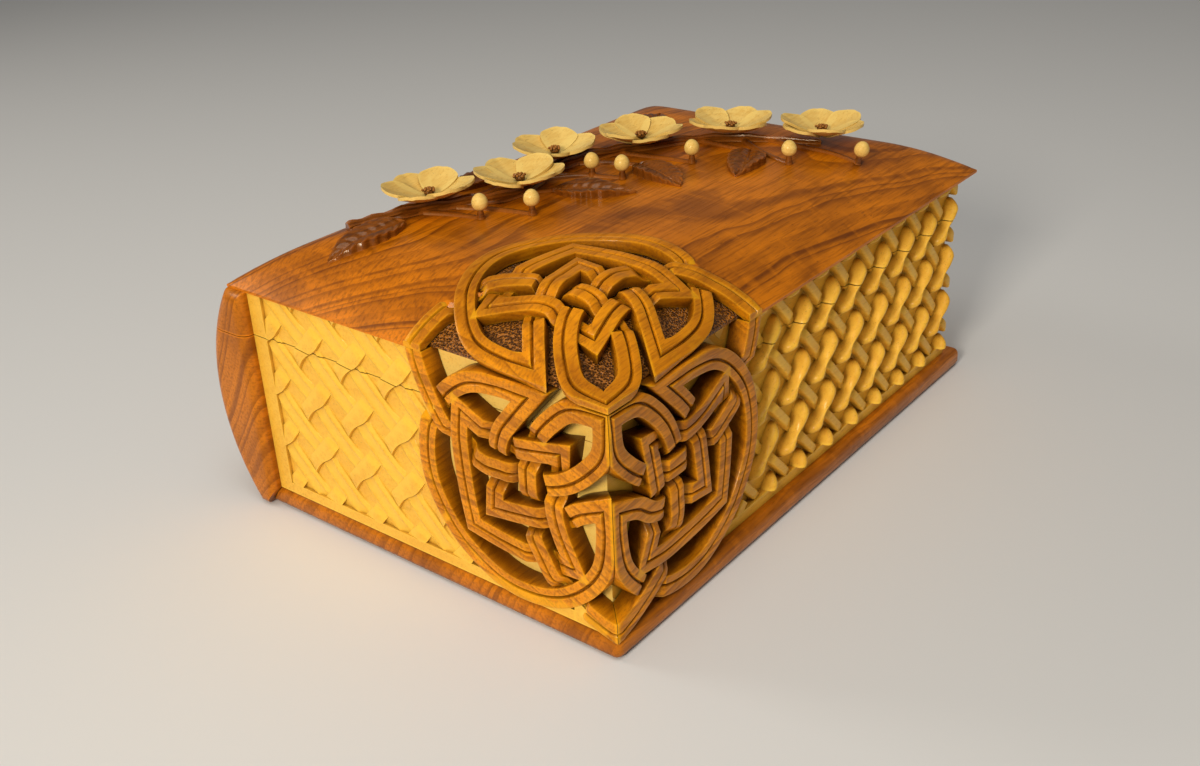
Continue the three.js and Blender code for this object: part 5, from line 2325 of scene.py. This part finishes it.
@dataclass
class Studio:
    """A pale floor, soft lamps, even pale air and the camera at the photograph's viewing angle.

    The angles are in degrees, the lens and the sensor in millimetres, other lengths in metres.
    """

    camera_place: Triple = (0.2473, -0.3151, 0.2220)
    yaw: float = -39.25
    pitch: float = 27.24
    roll: float = -2.76
    lens: float = 38.69
    sensor: float = 36.0
    near: float = 0.01
    floor_size: float = 6.0
    air: Triple = (1.0, 0.98, 0.95)
    air_strength: float = 0.16
    lamps: tuple[Lamp, ...] = (
        Lamp("window", (0.26, -1.00, 0.53), 0.24, 2.9, (1.0, 0.92, 0.80)),
        Lamp("left_fill", (-1.05, -0.42, 0.62), 0.4, 0.95, (1.0, 0.94, 0.85)),
        Lamp("top", (0.3, -0.35, 1.4), 0.9, 2.5, (1.0, 0.97, 0.92)),
    )

    def build_floor(self) -> None:
        """Lays the floor."""
        bm = bmesh.new()
        bmesh.ops.create_grid(bm, x_segments=1, y_segments=1, size=self.floor_size)
        mesh = bpy.data.meshes.new("floor")
        bm.to_mesh(mesh)
        bm.free()
        mesh.materials.append(Backdrop().make())
        new_object("floor", mesh)

    def build_world(self) -> None:
        """Fills the room with even pale light."""
        world = bpy.data.worlds.new("room")
        world.use_nodes = True
        world.node_tree.nodes.clear()
        nodes = Nodes(world.node_tree)
        light = nodes.add("ShaderNodeBackground", {"Color": rgb(*self.air), "Strength": self.air_strength})
        nodes.add("ShaderNodeOutputWorld", {"Surface": light.outputs[0]})
        bpy.context.scene.world = world

    def build_camera(self) -> None:
        """Sets the camera where the photograph was taken from."""
        data = bpy.data.cameras.new("camera")
        data.lens = self.lens
        data.sensor_width = self.sensor
        data.clip_start = self.near
        camera = new_object("camera", data)
        yaw, pitch, roll = (math.radians(value) for value in (self.yaw, self.pitch, self.roll))
        level = math.cos(pitch)
        forward = Vector((math.sin(yaw) * level, math.cos(yaw) * level, -math.sin(pitch)))
        right = Vector((math.cos(yaw), -math.sin(yaw), 0.0))
        up = right.cross(forward)
        turned_right = math.cos(roll) * right + math.sin(roll) * up
        turned_up = -math.sin(roll) * right + math.cos(roll) * up
        matrix = Matrix((turned_right, turned_up, -forward)).transposed().to_4x4()
        matrix.translation = self.camera_place
        camera.matrix_world = matrix
        bpy.context.scene.camera = camera

    def build(self) -> None:
        """Builds the room."""
        self.build_floor()
        self.build_world()
        self.build_camera()
        for lamp in self.lamps:
            lamp.build()
        bpy.context.scene.view_settings.view_transform = "Standard"


TAIL_WEAVE = Weave(
    pitch=(18.1, 18.0), anchor=(113.2, 62.8), block_length=18.4, block_half=2.75, waist=1.0,
    block_rise=0.35, block_power=14.0, wave=0.45, tilt=0.95, bar_half=3.9, bar_rise=-0.4,
    bar_sink=1.0, ridge=0.42, floor=1.05, calm=(-10.0, -5.0),
)
FORE_WEAVE = Weave(
    pitch=(16.9, 17.6), anchor=(-112.9, 60.0), block_length=19.6, block_half=1.65, waist=0.4,
    block_rise=2.4, block_power=2.6, wave=0.0, tilt=0.0, bar_half=1.7, bar_rise=0.5,
    bar_sink=1.5, ridge=0.0, floor=2.6, calm=(66.0, 86.0),
)


def main() -> None:
    """Loads the frame, builds every piece around it and reports each one."""
    logging.basicConfig(level=logging.INFO, format="%(message)s")
    for item in list(bpy.data.objects):
        bpy.data.objects.remove(item)
    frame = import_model()
    finishes = Finishes()
    Studio().build()
    cover_design = KnotDesign(tips=(25.4, 25.4))
    tail_design = KnotDesign(tips=(28.4, 25.4))
    fore_design = KnotDesign(tips=(24.4, 29.4))
    BaseBoard().build(finishes)
    Spine().build(finishes)
    CoverBoard(cover_design).build(finishes)
    tail_knot, fore_knot = Knot(Side.TAIL, tail_design), Knot(Side.FORE, fore_design)
    ends_from = -(FORE_FACE - WALL)
    tail_run = (ends_from, PAGES_WIDTH)
    fore_run = (-HEAD_FACE, -TAIL_FACE)
    tail_field = (ends_from, PAGES_WIDTH - SPINE_MARGIN)
    WovenWall(Side.TAIL, TAIL_WEAVE, tail_run, tail_field, (tail_knot,)).build(finishes)
    WovenWall(Side.FORE, FORE_WEAVE, fore_run, fore_run, (tail_knot, fore_knot)).build(finishes)
    HeadWall().build(finishes)
    for knot in (Knot(Side.COVER, cover_design, depth=COVER_KNOT_DEPTH), tail_knot, fore_knot):
        knot.build(finishes)
    Spray().build(finishes)
    for name, node in frame["nodes"].items():
        if name.startswith("hinge"):
            node.data.materials.clear()
            node.data.materials.append(finishes.brass)


if __name__ == "__main__":
    main()
